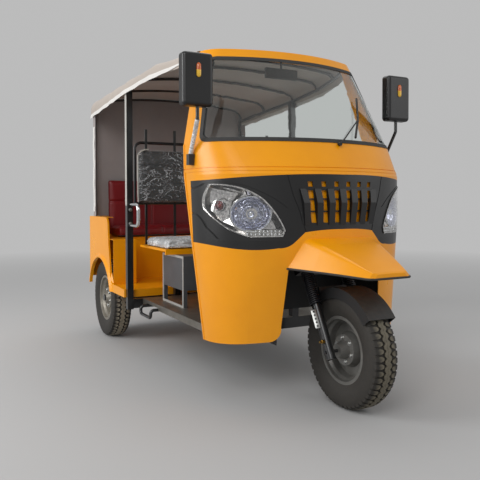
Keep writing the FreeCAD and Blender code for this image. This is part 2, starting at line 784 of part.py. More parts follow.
def beak_form(shrink):
    """The beak as one block, or the hollow inside it when shrunk by a wall."""
    return Part.makeLoft([beak_section(row, shrink) for row in BEAK], True, True)


def beak():
    """Yellow snout over the front wheel, open below and behind."""
    hollow = beak_form(size.beak_wall)
    shell = beak_form(0).cut(hollow)
    shape = shell.cut(cowl_block(400, 1000, 0, 50)).removeSplitter()
    keep("beak", shaped("beak", shape))


def wheel_well():
    """Black well behind the front wheel, open to the front and below."""
    wall = size.sheet
    half = size.well_half
    back = front_y + size.well_back
    low = size.cowl_sill_height + 12
    top = size.well_top
    outside = Part.makeBox(2 * half, size.well_back + 100, top - low, Vector(-half, front_y - 100, low))
    inside = Part.makeBox(2 * (half - wall), size.well_back + 100, top - low,
                          Vector(-half + wall, front_y - 100 - wall, low - wall))
    fork_room = Part.makeCylinder(size.head_radius + 14, 500, steer_point(400), steer_axis())
    shell = outside.cut(inside).cut(fork_room)
    shape = shell.common(cowl_block(low - 10, top + 10, size.trim_wall + size.cowl_wall + size.lining_gap))
    keep("wheel_well", shaped("wheel_well", shape))


def dash_panel():
    """Dark inner panel under the windscreen, trimmed to the shell."""
    top = size.cowl_glass_height - 20
    steps = [(front_y + 90, top - 14), (front_y + 240, top), (front_y + 300, top - 40),
             (front_y + 312, 1020), (front_y + 298, 1008), (front_y + 286, top - 48),
             (front_y + 234, top - 14), (front_y + 90, top - 28)]
    slab = side_prism(steps, 640)
    inside = cowl_block(980, size.cowl_glass_height, size.cowl_wall + size.lining_gap)
    lamp_room = Part.makeBox(400, 400, size.cowl_band_height + 6 - 900,
                             Vector(size.lamp_inner - 20, front_y, 900))
    dash = slab.common(inside).cut(lamp_room).cut(flip(lamp_room))
    keep("dash_panel", shaped("dash_panel", dash.removeSplitter()))


# Steering, made along the fork: local Z runs up the legs from the front axle

def steer_axis():
    """Unit vector up the steering axis."""
    angle = math.radians(size.rake)
    return Vector(0, math.sin(angle), math.cos(angle))


def steer_point(along):
    """A point on the steering axis, measured up the fork from the axle."""
    angle = math.radians(size.rake)
    back = Vector(0, math.cos(angle), -math.sin(angle)) * size.fork_offset
    return Vector(0, front_y, size.tyre_radius) + back + steer_axis() * along


def on_fork(thing):
    """Lean an object made in the fork's own frame."""
    thing.Placement = Placement(Vector(), Rotation(Vector(-1, 0, 0), size.rake))
    thing.setExpression("Placement.Rotation.Angle", "size.rake")
    thing.setExpression("Placement.Base.y", FRONT)
    thing.setExpression("Placement.Base.z", MIDDLE)


def front_fork():
    """Legs, yokes, spindle and stem, welded in one."""
    leg = "size.leg_spacing / 2"
    low = "-38"
    sleeve = rod("fork_sleeve", "size.sleeve_radius", "size.sleeve_top + 38", (leg, "0", low))
    tube = rod("fork_leg", "size.leg_radius", "size.yoke_upper + size.yoke_sheet - size.sleeve_top + 10",
               (leg, "0", "size.sleeve_top - 10"))
    parts = [sleeve, tube, mirrored("fork_sleeve_other", sleeve), mirrored("fork_leg_other", tube)]
    yoke_half = "size.leg_spacing / 2 + size.sleeve_radius + 8"
    for name, foot in (("yoke_low", "size.spring_top"), ("yoke_high", "size.yoke_upper")):
        parts.append(block(name, across(yoke_half), ("-size.sleeve_radius - 4", "size.fork_offset + 26"),
                           (foot, f"{foot} + size.yoke_sheet")))
    parts.append(rod("steering_stem", "size.stem_radius", "size.stem_top - size.spring_top",
                     ("0", "size.fork_offset", "size.spring_top")))
    parts.append(block("bar_clamp", across("34"), ("size.fork_offset - 24", "size.fork_offset + 24"),
                       ("size.stem_top - 12", "size.stem_top + 4")))
    parts.append(rod("front_spindle", "size.axle_radius", "size.leg_spacing + 2 * size.sleeve_radius + 12",
                     ("-size.leg_spacing / 2 - size.sleeve_radius - 6", "0", "0"), "x"))
    fork = fuse("front_fork", parts)
    on_fork(fork)
    keep("front_fork", fork)


def fork_springs():
    """Coil springs round the upper legs, each turned as a stack of round coils."""
    foot = size.sleeve_top + size.seat_gap
    head = size.spring_top - size.seat_gap
    pitch = (head - foot) / size.spring_coils
    inner = size.leg_radius + 1
    outer = size.spring_radius + size.spring_wire
    root = size.spring_radius - size.spring_wire / 2
    edges = [(inner, foot)]
    for coil in range(size.spring_coils):
        low = foot + coil * pitch
        edges += [(root, low), (outer, low + pitch * 0.32), (outer, low + pitch * 0.68)]
    edges += [(root, head), (inner, head)]
    corners = [Vector(size.leg_spacing / 2 + radius, 0, along) for radius, along in edges]
    face = Part.Face(Part.makePolygon(corners + corners[:1]))
    axis = Vector(size.leg_spacing / 2, 0, 0)
    spring = outward(face.revolve(axis, Vector(0, 0, 1), 360))
    springs = shaped("fork_springs", both(spring))
    on_fork(springs)
    keep("fork_springs", springs)


def front_mudguard():
    """Black guard close over the front tyre, held on the fork legs."""
    inner = size.tyre_radius + size.guard_gap
    outer = inner + size.guard_sheet
    half = size.tyre_width / 2 + 8
    centre = Vector(-half, front_y, size.tyre_radius)
    ring = Part.makeCylinder(outer, 2 * half, centre, Vector(1, 0, 0)).cut(
        Part.makeCylinder(inner, 2 * half, centre, Vector(1, 0, 0)))
    lip_low = size.tyre_radius + 2
    for side in (-half, half - size.guard_sheet):
        start = Vector(side, front_y, size.tyre_radius)
        ring = ring.fuse(Part.makeCylinder(outer, size.guard_sheet, start, Vector(1, 0, 0)).cut(
            Part.makeCylinder(lip_low - 34, size.guard_sheet, start, Vector(1, 0, 0))))
    reach = 700
    wedge = []
    for degrees in (38, 140):
        angle = math.radians(degrees)
        wedge.append((front_y - reach * math.cos(angle), size.tyre_radius + reach * math.sin(angle)))
    above = (front_y, size.tyre_radius + reach)
    sector = side_prism([(front_y, size.tyre_radius), wedge[0], above, wedge[1]], 200)
    guard = ring.common(sector)
    lean = Rotation(Vector(-1, 0, 0), size.rake)
    ear_half = size.leg_spacing / 2 - size.spring_radius - size.spring_wire - size.seat_gap
    ear = Part.makeBox(2 * ear_half, 30, 22, Vector(-ear_half, -15, inner + 2))
    ear.Placement = Placement(Vector(0, front_y, size.tyre_radius), lean).multiply(ear.Placement)
    inside = Part.makeCylinder(inner, 2 * half, centre, Vector(1, 0, 0))
    shape = guard.fuse(ear.cut(inside)).removeSplitter()
    keep("front_mudguard", shaped("front_mudguard", shape))


def handlebar():
    """Swept handlebar with its grips, seated on the stem's clamp."""
    clamp = steer_point(size.stem_top + 4 + size.seat_gap)
    up = steer_axis()
    centre = clamp + up * size.bar_radius
    grip = Vector(size.bar_half, centre.y + size.bar_sweep, centre.z - 30)
    right = [(grip.x, grip.y, grip.z), (205, centre.y + 78, centre.z - 8), (92, centre.y, centre.z)]
    points = right + [(-x, y, z) for x, y, z in reversed(right)]
    tube = bent_tube(points, size.bar_radius, 60)
    along = (Vector(*right[0]) - Vector(*right[1])).normalize()
    grips = Part.makeCylinder(size.grip_radius, 118, grip - along * 114, along)
    lever_start = grip - along * 125
    lever = bent_tube([tuple(lever_start - Vector(0, 20, 0)), tuple(lever_start - Vector(-20, 62, 4)),
                       tuple(grip - Vector(6, 52, 4))], 5, 18)
    post = Part.makeCylinder(7, 36, lever_start - Vector(0, 28, 0), Vector(0, 1, 0))
    shape = tube.fuse([grips, flip(grips), lever, flip(lever), post, flip(post)]).removeSplitter()
    keep("handlebar", shaped("handlebar", shape))


# Wheels

def lug_line(place, top, floor):
    """A toothed outline round the tyre: the tops of its lugs joined by the floors between them."""
    corners = []
    half = size.lug_share / 2
    slope = 0.04
    for lug in range(size.lug_count):
        for share, radius in ((-half, top), (half, top), (half + slope, floor), (1 - half - slope, floor)):
            angle = math.tau * (lug + share) / size.lug_count
            corners.append(Vector(place, radius * math.sin(angle), radius * math.cos(angle)))
    return Part.makePolygon(corners + corners[:1])


def tyre_shape():
    """A tyre with two middle ribs and a ring of lugs on each shoulder, hollow on its rim."""
    top = size.tyre_radius
    floor = top - size.tread_depth
    base = size.lug_floor
    bead = size.rim_width / 2 - size.rim_sheet - size.seat_gap
    half = size.tyre_width / 2
    side = [(2, floor + 3), (2, top), (size.rib_half, top), (size.rib_half, floor), (size.lug_inner, floor),
            (size.lug_inner, base), (size.lug_outer, base), (half - 1.5, base - 12),
            (half, (top + size.bead_radius) / 2 + 6), (bead, size.rim_radius + 1), (bead, size.bead_radius)]
    corners = [Vector(a, 0, b) for a, b in side] + [Vector(-a, 0, b) for a, b in reversed(side)]
    ring = Part.Face(Part.makePolygon(corners + corners[:1]))
    carcass = outward(ring.revolve(Vector(0, 0, 0), Vector(1, 0, 0), 360))
    rings = [lug_line(size.lug_inner, top, floor), lug_line(size.lug_outer - 12, top - 1, floor - 1),
             lug_line(size.lug_outer, top - 14, base + 1.5)]
    lugs = Part.makeLoft(rings, True, True)
    lugs = lugs.cut(Part.makeCylinder(base, 4 * half, Vector(-2 * half, 0, 0), Vector(1, 0, 0)))
    others = flip(lugs)
    others.rotate(Vector(0, 0, 0), Vector(1, 0, 0), 180 / size.lug_count)
    return carcass.fuse([lugs, others])


def tyre(name, shape, across_place, along_place):
    """A tyre's copy at its axle."""
    keep(name, shaped(name, shape.translated(Vector(across_place, along_place, size.tyre_radius))))


def rim(name, y_formula, x_formula, bore, hub_half):
    """A pressed steel rim with its disc, drum and hub."""
    half = "size.rim_width / 2"
    wall = "size.rim_sheet"
    seat = "size.bead_radius - size.seat_gap"
    corners = [
        (f"-({half})", "size.rim_radius"),
        (f"-({half}) + {wall}", "size.rim_radius"),
        (f"-({half}) + {wall}", seat),
        (f"-({half}) + 26", f"{seat} - 2"),
        (f"-({half}) + 32", f"{seat} - 14"),
        (f"({half}) - 32", f"{seat} - 14"),
        (f"({half}) - 26", f"{seat} - 2"),
        (f"({half}) - {wall}", seat),
        (f"({half}) - {wall}", "size.rim_radius"),
        (f"{half}", "size.rim_radius"),
        (f"{half}", f"{seat} - {wall}"),
        (f"({half}) - 30", f"{seat} - 8 - {wall}"),
        ("14", f"{seat} - 16 - {wall}"),
        ("9", "size.hub_radius + 42"),
        ("20", "size.hub_radius + 26"),
        ("20", "size.hub_radius"),
        (f"{hub_half}", "size.hub_radius - 12"),
        (f"{hub_half}", f"{bore} + size.running_fit"),
        (f"-({hub_half})", f"{bore} + size.running_fit"),
        (f"-({hub_half})", "size.hub_radius - 12"),
        ("-34", "size.hub_radius"),
        ("-34", "size.hub_radius + 30"),
        ("4", "size.hub_radius + 42"),
        ("8", f"{seat} - 22 - {wall}"),
        (f"-({half}) + 30", f"{seat} - 14 - {wall}"),
        (f"-({half}) + 16", f"{seat} - 4 - {wall}"),
        (f"-({half})", f"{seat} - {wall}"),
    ]
    keep(name, revolved(name, corners, y_formula, x_formula))


def wheels():
    """Three wheels; the two rear ones stand at half the track."""
    shape = tyre_shape()
    tyre("front_tyre", shape, 0, front_y)
    rim("front_rim", FRONT, "0", "size.axle_radius", "size.hub_length / 2")
    for name, side in (("rear_left", 1), ("rear_right", -1)):
        place = f"{side} * size.track / 2"
        tyre(f"{name}_tyre", shape, side * size.track / 2, rear_y)
        rim(f"{name}_rim", REAR, place, "size.stub_radius", "56")


# Chassis and floors

RAIL_TOP = "size.floor_top - size.sheet"
KICK_TOP = "size.step_top - size.sheet"


def chassis_frame():
    """Ladder frame with cross members, steering head, outriggers, side steps and bumper."""
    half = "size.rail_width / 2"
    rail_x = (f"size.rail_half - {half}", f"size.rail_half + {half}")
    parts = []
    bulkhead = f"{FRONT} + size.well_back + size.seat_gap"
    pillar = f"{FRONT} + size.pillar_back"
    tail = f"{REAR} + size.tail_back - 4"
    low = f"{RAIL_TOP} - size.rail_height"
    kick_low = f"{KICK_TOP} - size.rail_height"
    rails = [block("rail_front", rail_x, (bulkhead, f"{pillar} + 60"), (low, RAIL_TOP)),
             block("rail_rear", rail_x, (f"{pillar} - 20", tail), (kick_low, KICK_TOP))]
    for rail in rails:
        parts.extend([rail, mirrored(f"{rail.Name}_other", rail)])
    inner = "size.rail_half"
    for name, start, length, foot, top in (
            ("cross_front", bulkhead, "40", low, RAIL_TOP),
            ("cross_engine", f"{FRONT} + size.bench_front - 130", "40", low, RAIL_TOP),
            ("cross_seat", f"{FRONT} + size.bench_front + 190", "40", low, RAIL_TOP),
            ("cross_tail", f"{tail} - 110", "40", kick_low, KICK_TOP)):
        parts.append(block(name, across(inner), (start, f"{start} + {length}"), (foot, top)))
    outrigger = f"size.pillar_half - {half} - size.seat_gap"
    parts.append(block("outrigger", across(outrigger), (f"{pillar} - 20", f"{pillar} + 20"),
                       (low, RAIL_TOP)))
    parts.append(block("head_post", across("20"), (bulkhead, f"{bulkhead} + 40"), (low, "size.post_top")))
    parts.append(head_joint())
    parts.extend(side_steps())
    parts.extend(rear_bumper())
    frame = fuse("chassis_frame", parts)
    keep("chassis_frame", cut("chassis_bored", frame, stem_bore()))


def head_joint():
    """The steering head tube with its link to the post."""
    height = size.head_high - size.head_low
    head = Part.makeCylinder(size.head_radius, height, steer_point(size.head_low), steer_axis())
    middle = steer_point((size.head_low + size.head_high) / 2)
    link = Part.makeBox(36, front_y + size.well_back + 24 - middle.y, 70,
                        Vector(-18, middle.y, size.post_top - 78))
    return shaped("steering_head", head.fuse(link))


def stem_bore():
    """What the stem's bearing space takes out of the steering head."""
    radius = size.stem_radius + size.head_clearance
    return shaped("stem_bore", Part.makeCylinder(radius, 400, steer_point(size.head_low - 100), steer_axis()))


def side_steps():
    """A tube step under each side of the driver's floor."""
    near = size.rail_half
    far = size.floor_half + 44
    start = front_y + size.pillar_back - 300
    points = [(near, start, 330), (far, start, 330), (far, start, 282), (far, start + 190, 282),
              (far, start + 190, 330), (near, start + 190, 330)]
    tube = bent_tube(points, 10, 22)
    return [shaped("side_step", tube), shaped("side_step_other", flip(tube))]


def rear_bumper():
    """Tube bumper behind the tail panel."""
    radius = size.bumper_radius
    height = size.bumper_height
    arm = size.bumper_arm
    back = rear_y + size.rear_reach - radius
    points = [(arm, rear_y + size.tail_back - 84, height), (arm, back, height),
              (size.bumper_half, back, height)]
    tube = bent_tube(points, radius, 40)
    bar = bent_tube([(-arm, back, height), (arm, back, height)], radius, 40)
    return [shaped("rear_bumper", tube.fuse([flip(tube), bar]))]


def tow_eye():
    """Forged eye saddled on the front of the rear bumper."""
    radius = size.bumper_radius
    height = size.bumper_height
    back = rear_y + size.rear_reach - radius
    place = back - radius - size.eye_radius + 6
    foot = height - size.eye_length / 2
    ring = Part.makeCylinder(size.eye_radius, size.eye_length, Vector(0, place, foot))
    hole = Part.makeCylinder(size.tow_radius, size.eye_length + 40, Vector(0, place, foot - 20))
    saddle = Part.makeCylinder(radius + size.seat_gap, 100, Vector(-50, back, height), Vector(1, 0, 0))
    keep("tow_eye", shaped("tow_eye", ring.cut([hole, saddle])))


def driver_floor():
    """Aluminium floor sheet with folded sides and a window for the engine."""
    bulkhead = f"{FRONT} + size.well_back + size.seat_gap"
    end = f"{FRONT} + size.pillar_back - size.pillar_width / 2 - size.seat_gap"
    top = block("floor_sheet", across("size.floor_half"), (bulkhead, end), (RAIL_TOP, "size.floor_top"))
    side = block("floor_side", ("size.floor_half - size.sheet", "size.floor_half"), (bulkhead, end),
                 ("size.floor_top - 38", "size.floor_top"))
    window = fuse("floor_windows", [
        block("engine_window", across("size.engine_half + 14"),
              (f"{FRONT} + size.bench_front - size.engine_ahead - 8",
               f"{FRONT} + size.bench_front + size.engine_behind + 8"),
              ("300", "400")),
        block("post_window", across("20 + size.seat_gap"),
              (f"{bulkhead} - 1", f"{bulkhead} + 40 + size.seat_gap"), ("300", "400"))])
    steps = block("step_slot", ("size.floor_half - 20", "size.floor_half + 20"),
                  (f"{FRONT} + size.pillar_back - 316", f"{FRONT} + size.pillar_back - 94"), ("200", "343"))
    sides = cut("floor_sides", pair("floor_folds", side), pair("step_rooms", steps))
    keep("driver_floor", cut("driver_floor_cut", fuse("driver_floor", [top, sides]), window))


def passenger_tub():
    """Yellow step, floor, riser, seat deck and the inner walls of the wheelhouses."""
    sheet = "size.sheet"
    lip = f"{FRONT} + size.pillar_back + size.pillar_width / 2 + size.seat_gap"
    house = f"{REAR} - size.house_front"
    riser = f"{REAR} - size.riser_front"
    tail = f"{REAR} + size.tail_back - size.seat_gap"
    parts = [
        block("tub_floor", across("size.tub_half"), (lip, f"{house} + {sheet}"), (KICK_TOP, "size.step_top")),
        block("tub_floor_rear", across("size.house_half"), (f"{house}", f"{riser} + {sheet}"),
              (KICK_TOP, "size.step_top")),
        block("tub_lip", across("size.tub_half"), (lip, f"{lip} + {sheet}"),
              ("size.step_top - 50", "size.step_top")),
        block("tub_riser", across("size.house_half"), (riser, f"{riser} + {sheet}"),
              ("size.step_top", "size.deck_top")),
        block("tub_deck", across("size.tub_half"), (riser, tail),
              (f"size.deck_top - {sheet}", "size.deck_top")),
    ]
    halves = [
        block("house_front", ("size.house_half - 3", "size.tub_half"), (house, f"{house} + {sheet}"),
              ("size.step_top - 1", "size.deck_top")),
        block("house_side", (f"size.house_half - {sheet}", "size.house_half"), (house, tail),
              (KICK_TOP, "size.deck_top")),
        block("house_shelf", (f"size.house_half - {sheet}", "size.tub_half"), (house, f"{riser} + {sheet}"),
              (f"size.deck_top - {sheet}", "size.deck_top")),
    ]
    for half in halves:
        parts.extend([half, mirrored(f"{half.Name}_other", half)])
    solid = fuse("tub_walls", parts)
    room = "size.rail_width / 2 + size.seat_gap"
    notch = block("tub_lip_notch", (f"size.rail_half - ({room})", f"size.rail_half + {room}"),
                  (f"{lip} - 1", f"{lip} + {sheet} + 1"), ("300", KICK_TOP))
    lip_notch = pair("tub_lip_notches", notch)
    keep("passenger_tub", cut("passenger_tub", solid, lip_notch))


def quarter_outline():
    """Side view (y, z) of a rear quarter: sill, door edge, top and tail."""
    lip = front_y + size.pillar_back + size.pillar_width / 2 + size.seat_gap
    top = size.quarter_top
    tail = rear_y + size.tail_back
    edge = rear_y - 224
    return [(lip, 372), (lip, 424), (edge - 120, 428), ((edge - 70, 440), (edge - 48, 480)),
            (edge, 700), (edge + 16, top - 70), ((edge + 30, top - 22), (edge + 80, top)),
            (tail, top), (tail, 420), (tail - 30, 372)]


def rear_quarters():
    """Yellow rear quarters, each with its arch, flare and top flange, and the tail panel."""
    inner = size.tub_half + size.seat_gap
    wall = size.quarter_wall
    outline = flat_wire(quarter_outline(), lambda a, b: Vector(inner, a, b))
    panel = Part.Face(outline).extrude(Vector(wall, 0, 0))
    centre = Vector(inner - 100, rear_y, size.tyre_radius + 12)
    arch = Part.makeCylinder(size.arch_radius, 300, centre, Vector(1, 0, 0))
    start = Vector(inner, rear_y, size.tyre_radius + 12)
    flare = Part.makeCone(size.arch_radius + 46, size.arch_radius + 12, wall + 12, start, Vector(1, 0, 0))
    upper = Part.makeBox(60, 900, 500, Vector(inner, rear_y - 450, 372))
    stop = Part.makeBox(60, 900, 900, Vector(inner, rear_y + size.tail_back - 900, 0))
    side = panel.fuse(flare.common(upper).common(stop)).cut(arch)
    top = size.quarter_top
    flange = Part.makeBox(inner - 600, size.tail_back + 120, 4, Vector(600, rear_y - 120, top - 4))
    side = side.fuse(flange)
    tail = Part.makeBox(2 * (inner + wall), size.sheet, top - 420,
                        Vector(-inner - wall, rear_y + size.tail_back, 420))
    tail = tail.fuse(Part.makeBox(2 * 600, 24, 4, Vector(-600, rear_y + size.tail_back - 20, top - 4)))
    shape = side.fuse([flip(side), tail]).removeSplitter()
    keep("rear_quarters", shaped("rear_quarters", shape))


def driver_seat():
    """Seat board, cushion, backrest and the tube frame that carries the backrest."""
    front = f"{FRONT} + size.bench_front"
    back = f"{front} + size.bench_depth"
    board = block("seat_board_top", across("size.bench_half"), (front, f"{back} + 24"),
                  ("size.bench_top - size.board_sheet", "size.bench_top"))
    lip = block("seat_board_lip", across("size.bench_half"), (front, f"{front} + size.board_sheet"),
                ("size.bench_top - size.board_lip", "size.bench_top"))
    keep("seat_board", fuse("seat_board", [board, lip]))
    cushion = block("driver_cushion", across("size.bench_half - 6"),
                    (f"{front} + 4", f"{back} - size.back_lead - 4"),
                    ("size.bench_top + size.seat_gap", "size.bench_top + size.cushion_height"))
    keep("driver_cushion", cushion)
    face = f"{back} - size.back_lead"
    rest = block("driver_backrest", across("size.back_half"), (face, f"{face} + size.back_thick"),
                 ("size.back_foot", "size.back_head"))
    keep("driver_backrest", rest)


def backrest_frame():
    """Black tube frame behind the driver's backrest, standing on the seat board."""
    tube = size.hoop_radius
    rear_face = front_y + size.bench_front + size.bench_depth - size.back_lead + size.back_thick
    behind = rear_face + size.seat_gap + tube
    foot = size.bench_top + size.seat_gap
    half = size.back_half - 12
    top = size.back_head + 38
    stand = size.bench_half - 24
    low = size.back_foot + tube
    hoop = bent_tube([(half, behind, low), (half, behind, top), (-half, behind, top), (-half, behind, low)],
                     tube, 46)
    pieces = [bent_tube([(-half, behind, low), (half, behind, low)], tube, 10)]
    for across_place in (stand - 16, 270):
        for side in (-1, 1):
            spot = Vector(side * across_place - 8, behind - 10, foot)
            pieces.append(Part.makeBox(16, 10, size.stay_top - foot, spot))
    shape = hoop.fuse(pieces).removeSplitter()
    keep("backrest_frame", shaped("backrest_frame", shape))


def seat_box():
    """Grey engine cover of mesh sides on four legs, under the driver's seat."""
    wall = "size.sheet"
    half = "size.box_half"
    front = f"{FRONT} + size.bench_front - 140"
    back = f"{FRONT} + size.bench_front + 210"
    top = "size.bench_top - size.board_lip - size.seat_gap"
    outside = block("box_outside", across(half), (front, back), ("size.box_foot", top))
    inside = block("box_inside", across(f"{half} - {wall}"), (f"{front} + {wall}", f"{back} - {wall}"),
                   ("size.box_foot - 1", f"{top} - {wall}"))
    legs = []
    for name, place in (("box_leg_front", (front, f"{front} + size.leg_side")),
                        ("box_leg_back", (f"{back} - size.leg_side", back))):
        leg = block(name, (f"{half} - size.leg_side", half), place, ("size.floor_top", "size.box_foot + 20"))
        legs.extend([leg, mirrored(f"{name}_other", leg)])
    keep("seat_box", fuse("seat_box", [cut("box_walls", outside, inside)] + legs))


def engine_block():
    """Engine as one plain block, resting by lugs on two cross members."""
    start = f"{FRONT} + size.bench_front"
    block_y = (f"{start} - size.engine_ahead", f"{start} + size.engine_behind")
    top = "size.bench_top - 62"
    body = block("engine_body", across("size.engine_half"), block_y, ("250", top))
    lug_y = (f"{start} - size.engine_ahead - 36", f"{start} + size.engine_behind + 38")
    lugs = block("engine_lugs", across("size.engine_half - 40"), lug_y,
                 ("size.floor_top + size.seat_gap", "size.floor_top + 16"))
    keep("engine_block", fuse("engine_block", [body, lugs]))


def rear_axle():
    """Axle tube, differential, propeller shaft and the stub shafts that carry the wheels."""
    radius = 30
    half = size.track / 2
    centre = Vector(0, rear_y, size.tyre_radius)
    tube_half = half - 62
    tube = Part.makeCylinder(radius, 2 * tube_half, centre - Vector(tube_half, 0, 0), Vector(1, 0, 0))
    reach = half + 60
    stub = Part.makeCylinder(size.stub_radius, 2 * reach, centre - Vector(reach, 0, 0), Vector(1, 0, 0))
    cap = Part.makeCylinder(24, 6, centre + Vector(half + 58, 0, 0), Vector(1, 0, 0))
    housing = Part.makeCylinder(92, 110, centre - Vector(55, 0, 0), Vector(1, 0, 0))
    start = front_y + size.bench_front + size.engine_behind + size.seat_gap
    shaft = Part.makeCylinder(18, rear_y - start, Vector(0, start, size.tyre_radius - 13), Vector(0, 1, 0))
    shape = tube.fuse([stub, cap, flip(cap), housing, shaft]).removeSplitter()
    keep("rear_axle", shaped("rear_axle", shape))


def leaf_springs():
    """Curved leaf packs on the axle tube, hung beside the rear rails."""
    reach = 262
    inner = size.rail_half + size.rail_width / 2 + size.seat_gap
    width = 50
    seat = size.tyre_radius + 30 + size.seat_gap
    end = size.step_top - 34
    thick = 22
    eye = end + 4
    outline = [(rear_y - reach, end - 9), ((rear_y, seat), (rear_y + reach, end - 9)),
               (rear_y + reach, end + 9), ((rear_y, seat + thick), (rear_y - reach, end + 9))]
    face = Part.Face(flat_wire(outline, lambda a, b: Vector(inner, a, b)))
    pack = face.extrude(Vector(width, 0, 0))
    for side in (-1, 1):
        start = Vector(inner, rear_y + side * reach, eye - 4)
        pack = pack.fuse(Part.makeCylinder(14, width, start, Vector(1, 0, 0)))
    keep("leaf_springs", shaped("leaf_springs", both(pack.removeSplitter())))


def pedals():
    """Brake and gear pedals on the driver's floor."""
    pieces = []
    for across_place in (-170, 150):
        base = Vector(across_place - 14, front_y + 700, size.floor_top)
        stand = Part.makeBox(28, 60, 34, base)
        arm = Part.makeBox(10, 110, 10, base + Vector(9, -80, 24))
        pad = Part.makeBox(60, 34, 8, base + Vector(-16, -110, 34))
        pieces.append(stand.fuse([arm, pad]))
    keep("pedals", shaped("pedals", Part.makeCompound(pieces)))


def rear_seat():
    """Red passenger cushion and backrest."""
    front = f"{REAR} - size.riser_front - 26"
    tail = f"{FRONT} + size.canopy_stern_back - 30 + size.rail_tube"
    cushion = block("rear_cushion", across("size.rear_seat_half"),
                    (front, f"{tail} - size.rear_back_thick - 1"),
                    ("size.deck_top + size.seat_gap", "size.deck_top + size.rear_seat_height"))
    keep("rear_cushion", cushion)
    rest = block("rear_backrest", across("size.rear_seat_half"), (f"{tail} - size.rear_back_thick", tail),
                 ("size.deck_top + size.seat_gap", "size.rear_back_head"))
    keep("rear_backrest", rest)


# Roof and sides

def canopy_section(back, inset, drop=0.0):
    """A cross section of the canopy, inset from its outside, its open foot lowered by drop."""
    place, half, crown, corner, sweep, hem = between(CANOPY_ROWS, back)
    return arch_edges(half - inset, crown - inset, corner - inset, sweep - inset, hem - drop,
                      lambda a, b: Vector(a, front_y + back, b))


def canopy():
    """Cloth roof with short side flaps, open below."""
    wires = [wall_wire(canopy_section(row[0], 0), canopy_section(row[0], size.canopy_wall))
             for row in CANOPY_ROWS]
    keep("canopy", shaped("canopy", outward(Part.makeLoft(wires, True, True))))


def rail_turn(row):
    """How far round the canopy's corner the side rail lies."""
    back, half, crown, corner, sweep, hem = row
    corner_height = crown - sweep + math.sqrt((sweep - corner) ** 2 - (half - corner) ** 2)
    reach = corner - size.canopy_wall - size.seat_gap - size.rail_tube
    return math.asin(max(hem + size.rail_rise - corner_height, 0) / reach)


def rail_point(row):
    """Where the side rail passes a section of the canopy."""
    back, half, crown, corner, sweep, hem = row
    reach = corner - size.canopy_wall - size.seat_gap - size.rail_tube
    return (half - corner + reach * math.cos(rail_turn(row)), front_y + back, hem + size.rail_rise)


def bow_path(back):
    """The line of a roof bow, from side rail to side rail."""
    inset = size.canopy_wall + size.seat_gap + size.rail_tube
    turn = rail_turn(between(CANOPY_ROWS, back))
    edges = canopy_section(back, inset, -size.rail_rise)
    if turn == 0:
        return edges
    first, last = edges[1], edges[3]
    return [first.Curve.toShape(first.FirstParameter + turn, first.LastParameter), edges[2],
            last.Curve.toShape(last.FirstParameter, last.LastParameter - turn)]


def roof_frame():
    """Door pillars, side rails, bows and rear posts, welded in one."""
    tube = size.rail_tube
    rail_points = [rail_point(row) for row in CANOPY_ROWS[1:]]
    frame_back = front_y + size.cowl_brow_rear + size.seat_gap
    first = (size.cowl_brow_half - 12, frame_back - 20, size.cowl_brow_height - 20)
    last = rail_points[-1]
    post = front_y + size.canopy_stern_back - 30
    rail_points[-1] = (last[0], post + tube - 1, last[2] + 2)
    rail = jointed_tube([first] + rail_points, tube)
    rail = rail.cut(Part.makeBox(200, 200, 200, Vector(400, frame_back - 200, 1700)))
    foot = size.quarter_top + size.seat_gap
    rear_post = Part.makeCylinder(tube, rail_points[-1][2] - foot, Vector(last[0] - 6, post, foot))
    pillar_half = size.pillar_width / 2
    pillar_y = front_y + size.pillar_back
    low = size.floor_top - size.sheet - size.rail_height - 6
    pillar_x = size.pillar_half - pillar_half
    door_rail = between([[p[1], p[0], p[2]] for p in [first] + rail_points], pillar_y)
    pillar = Part.makeBox(size.pillar_width, size.pillar_width, door_rail[2] - tube + 4 - low,
                          Vector(pillar_x, pillar_y - pillar_half, low))
    pieces = [rail, rear_post, pillar]
    shape = pieces[0].fuse(pieces[1:] + [flip(piece) for piece in pieces])
    places = (870, 1160, size.pillar_back, 1960, size.canopy_stern_back - 30)
    bows = [round_tube(bow_path(back), size.bow_radius) for back in places]
    keep("roof_frame", shaped("roof_frame", shape.fuse(bows)))


def rear_curtain():
    """Cloth curtain that closes the back, with a strip round each rear post."""
    sheet = 3
    back = front_y + size.canopy_stern_back - 30 + size.rail_tube + size.seat_gap
    wrap = 90
    place, half, crown, corner, sweep, hem = CANOPY_ROWS[-1]
    inset = size.canopy_wall + size.seat_gap
    foot = size.quarter_top + size.seat_gap
    wire = arch_wire(arch_edges(half - inset, crown - inset - 4, corner - inset, sweep - inset, foot,
                                lambda a, b: Vector(a, back, b)))
    pane = Part.Face(wire).extrude(Vector(0, sheet, 0))
    outer = half - inset
    strip = Part.makeBox(sheet, wrap, hem - 8 - foot, Vector(outer - sheet, back - wrap + sheet, foot))
    shape = pane.fuse([strip, flip(strip)]).removeSplitter()
    keep("rear_curtain", shaped("rear_curtain", shape))


def grab_handles():
    """Chrome handle ahead of each door pillar."""
    x = size.pillar_half
    pillar = front_y + size.pillar_back - size.pillar_width / 2 - size.seat_gap
    points = [(x, pillar, 990), (x, pillar - 168, 990), (x, pillar - 168, 852), (x, pillar, 852)]
    tube = bent_tube(points, 11, 40)
    keep("grab_handles", shaped("grab_handles", both(tube)))


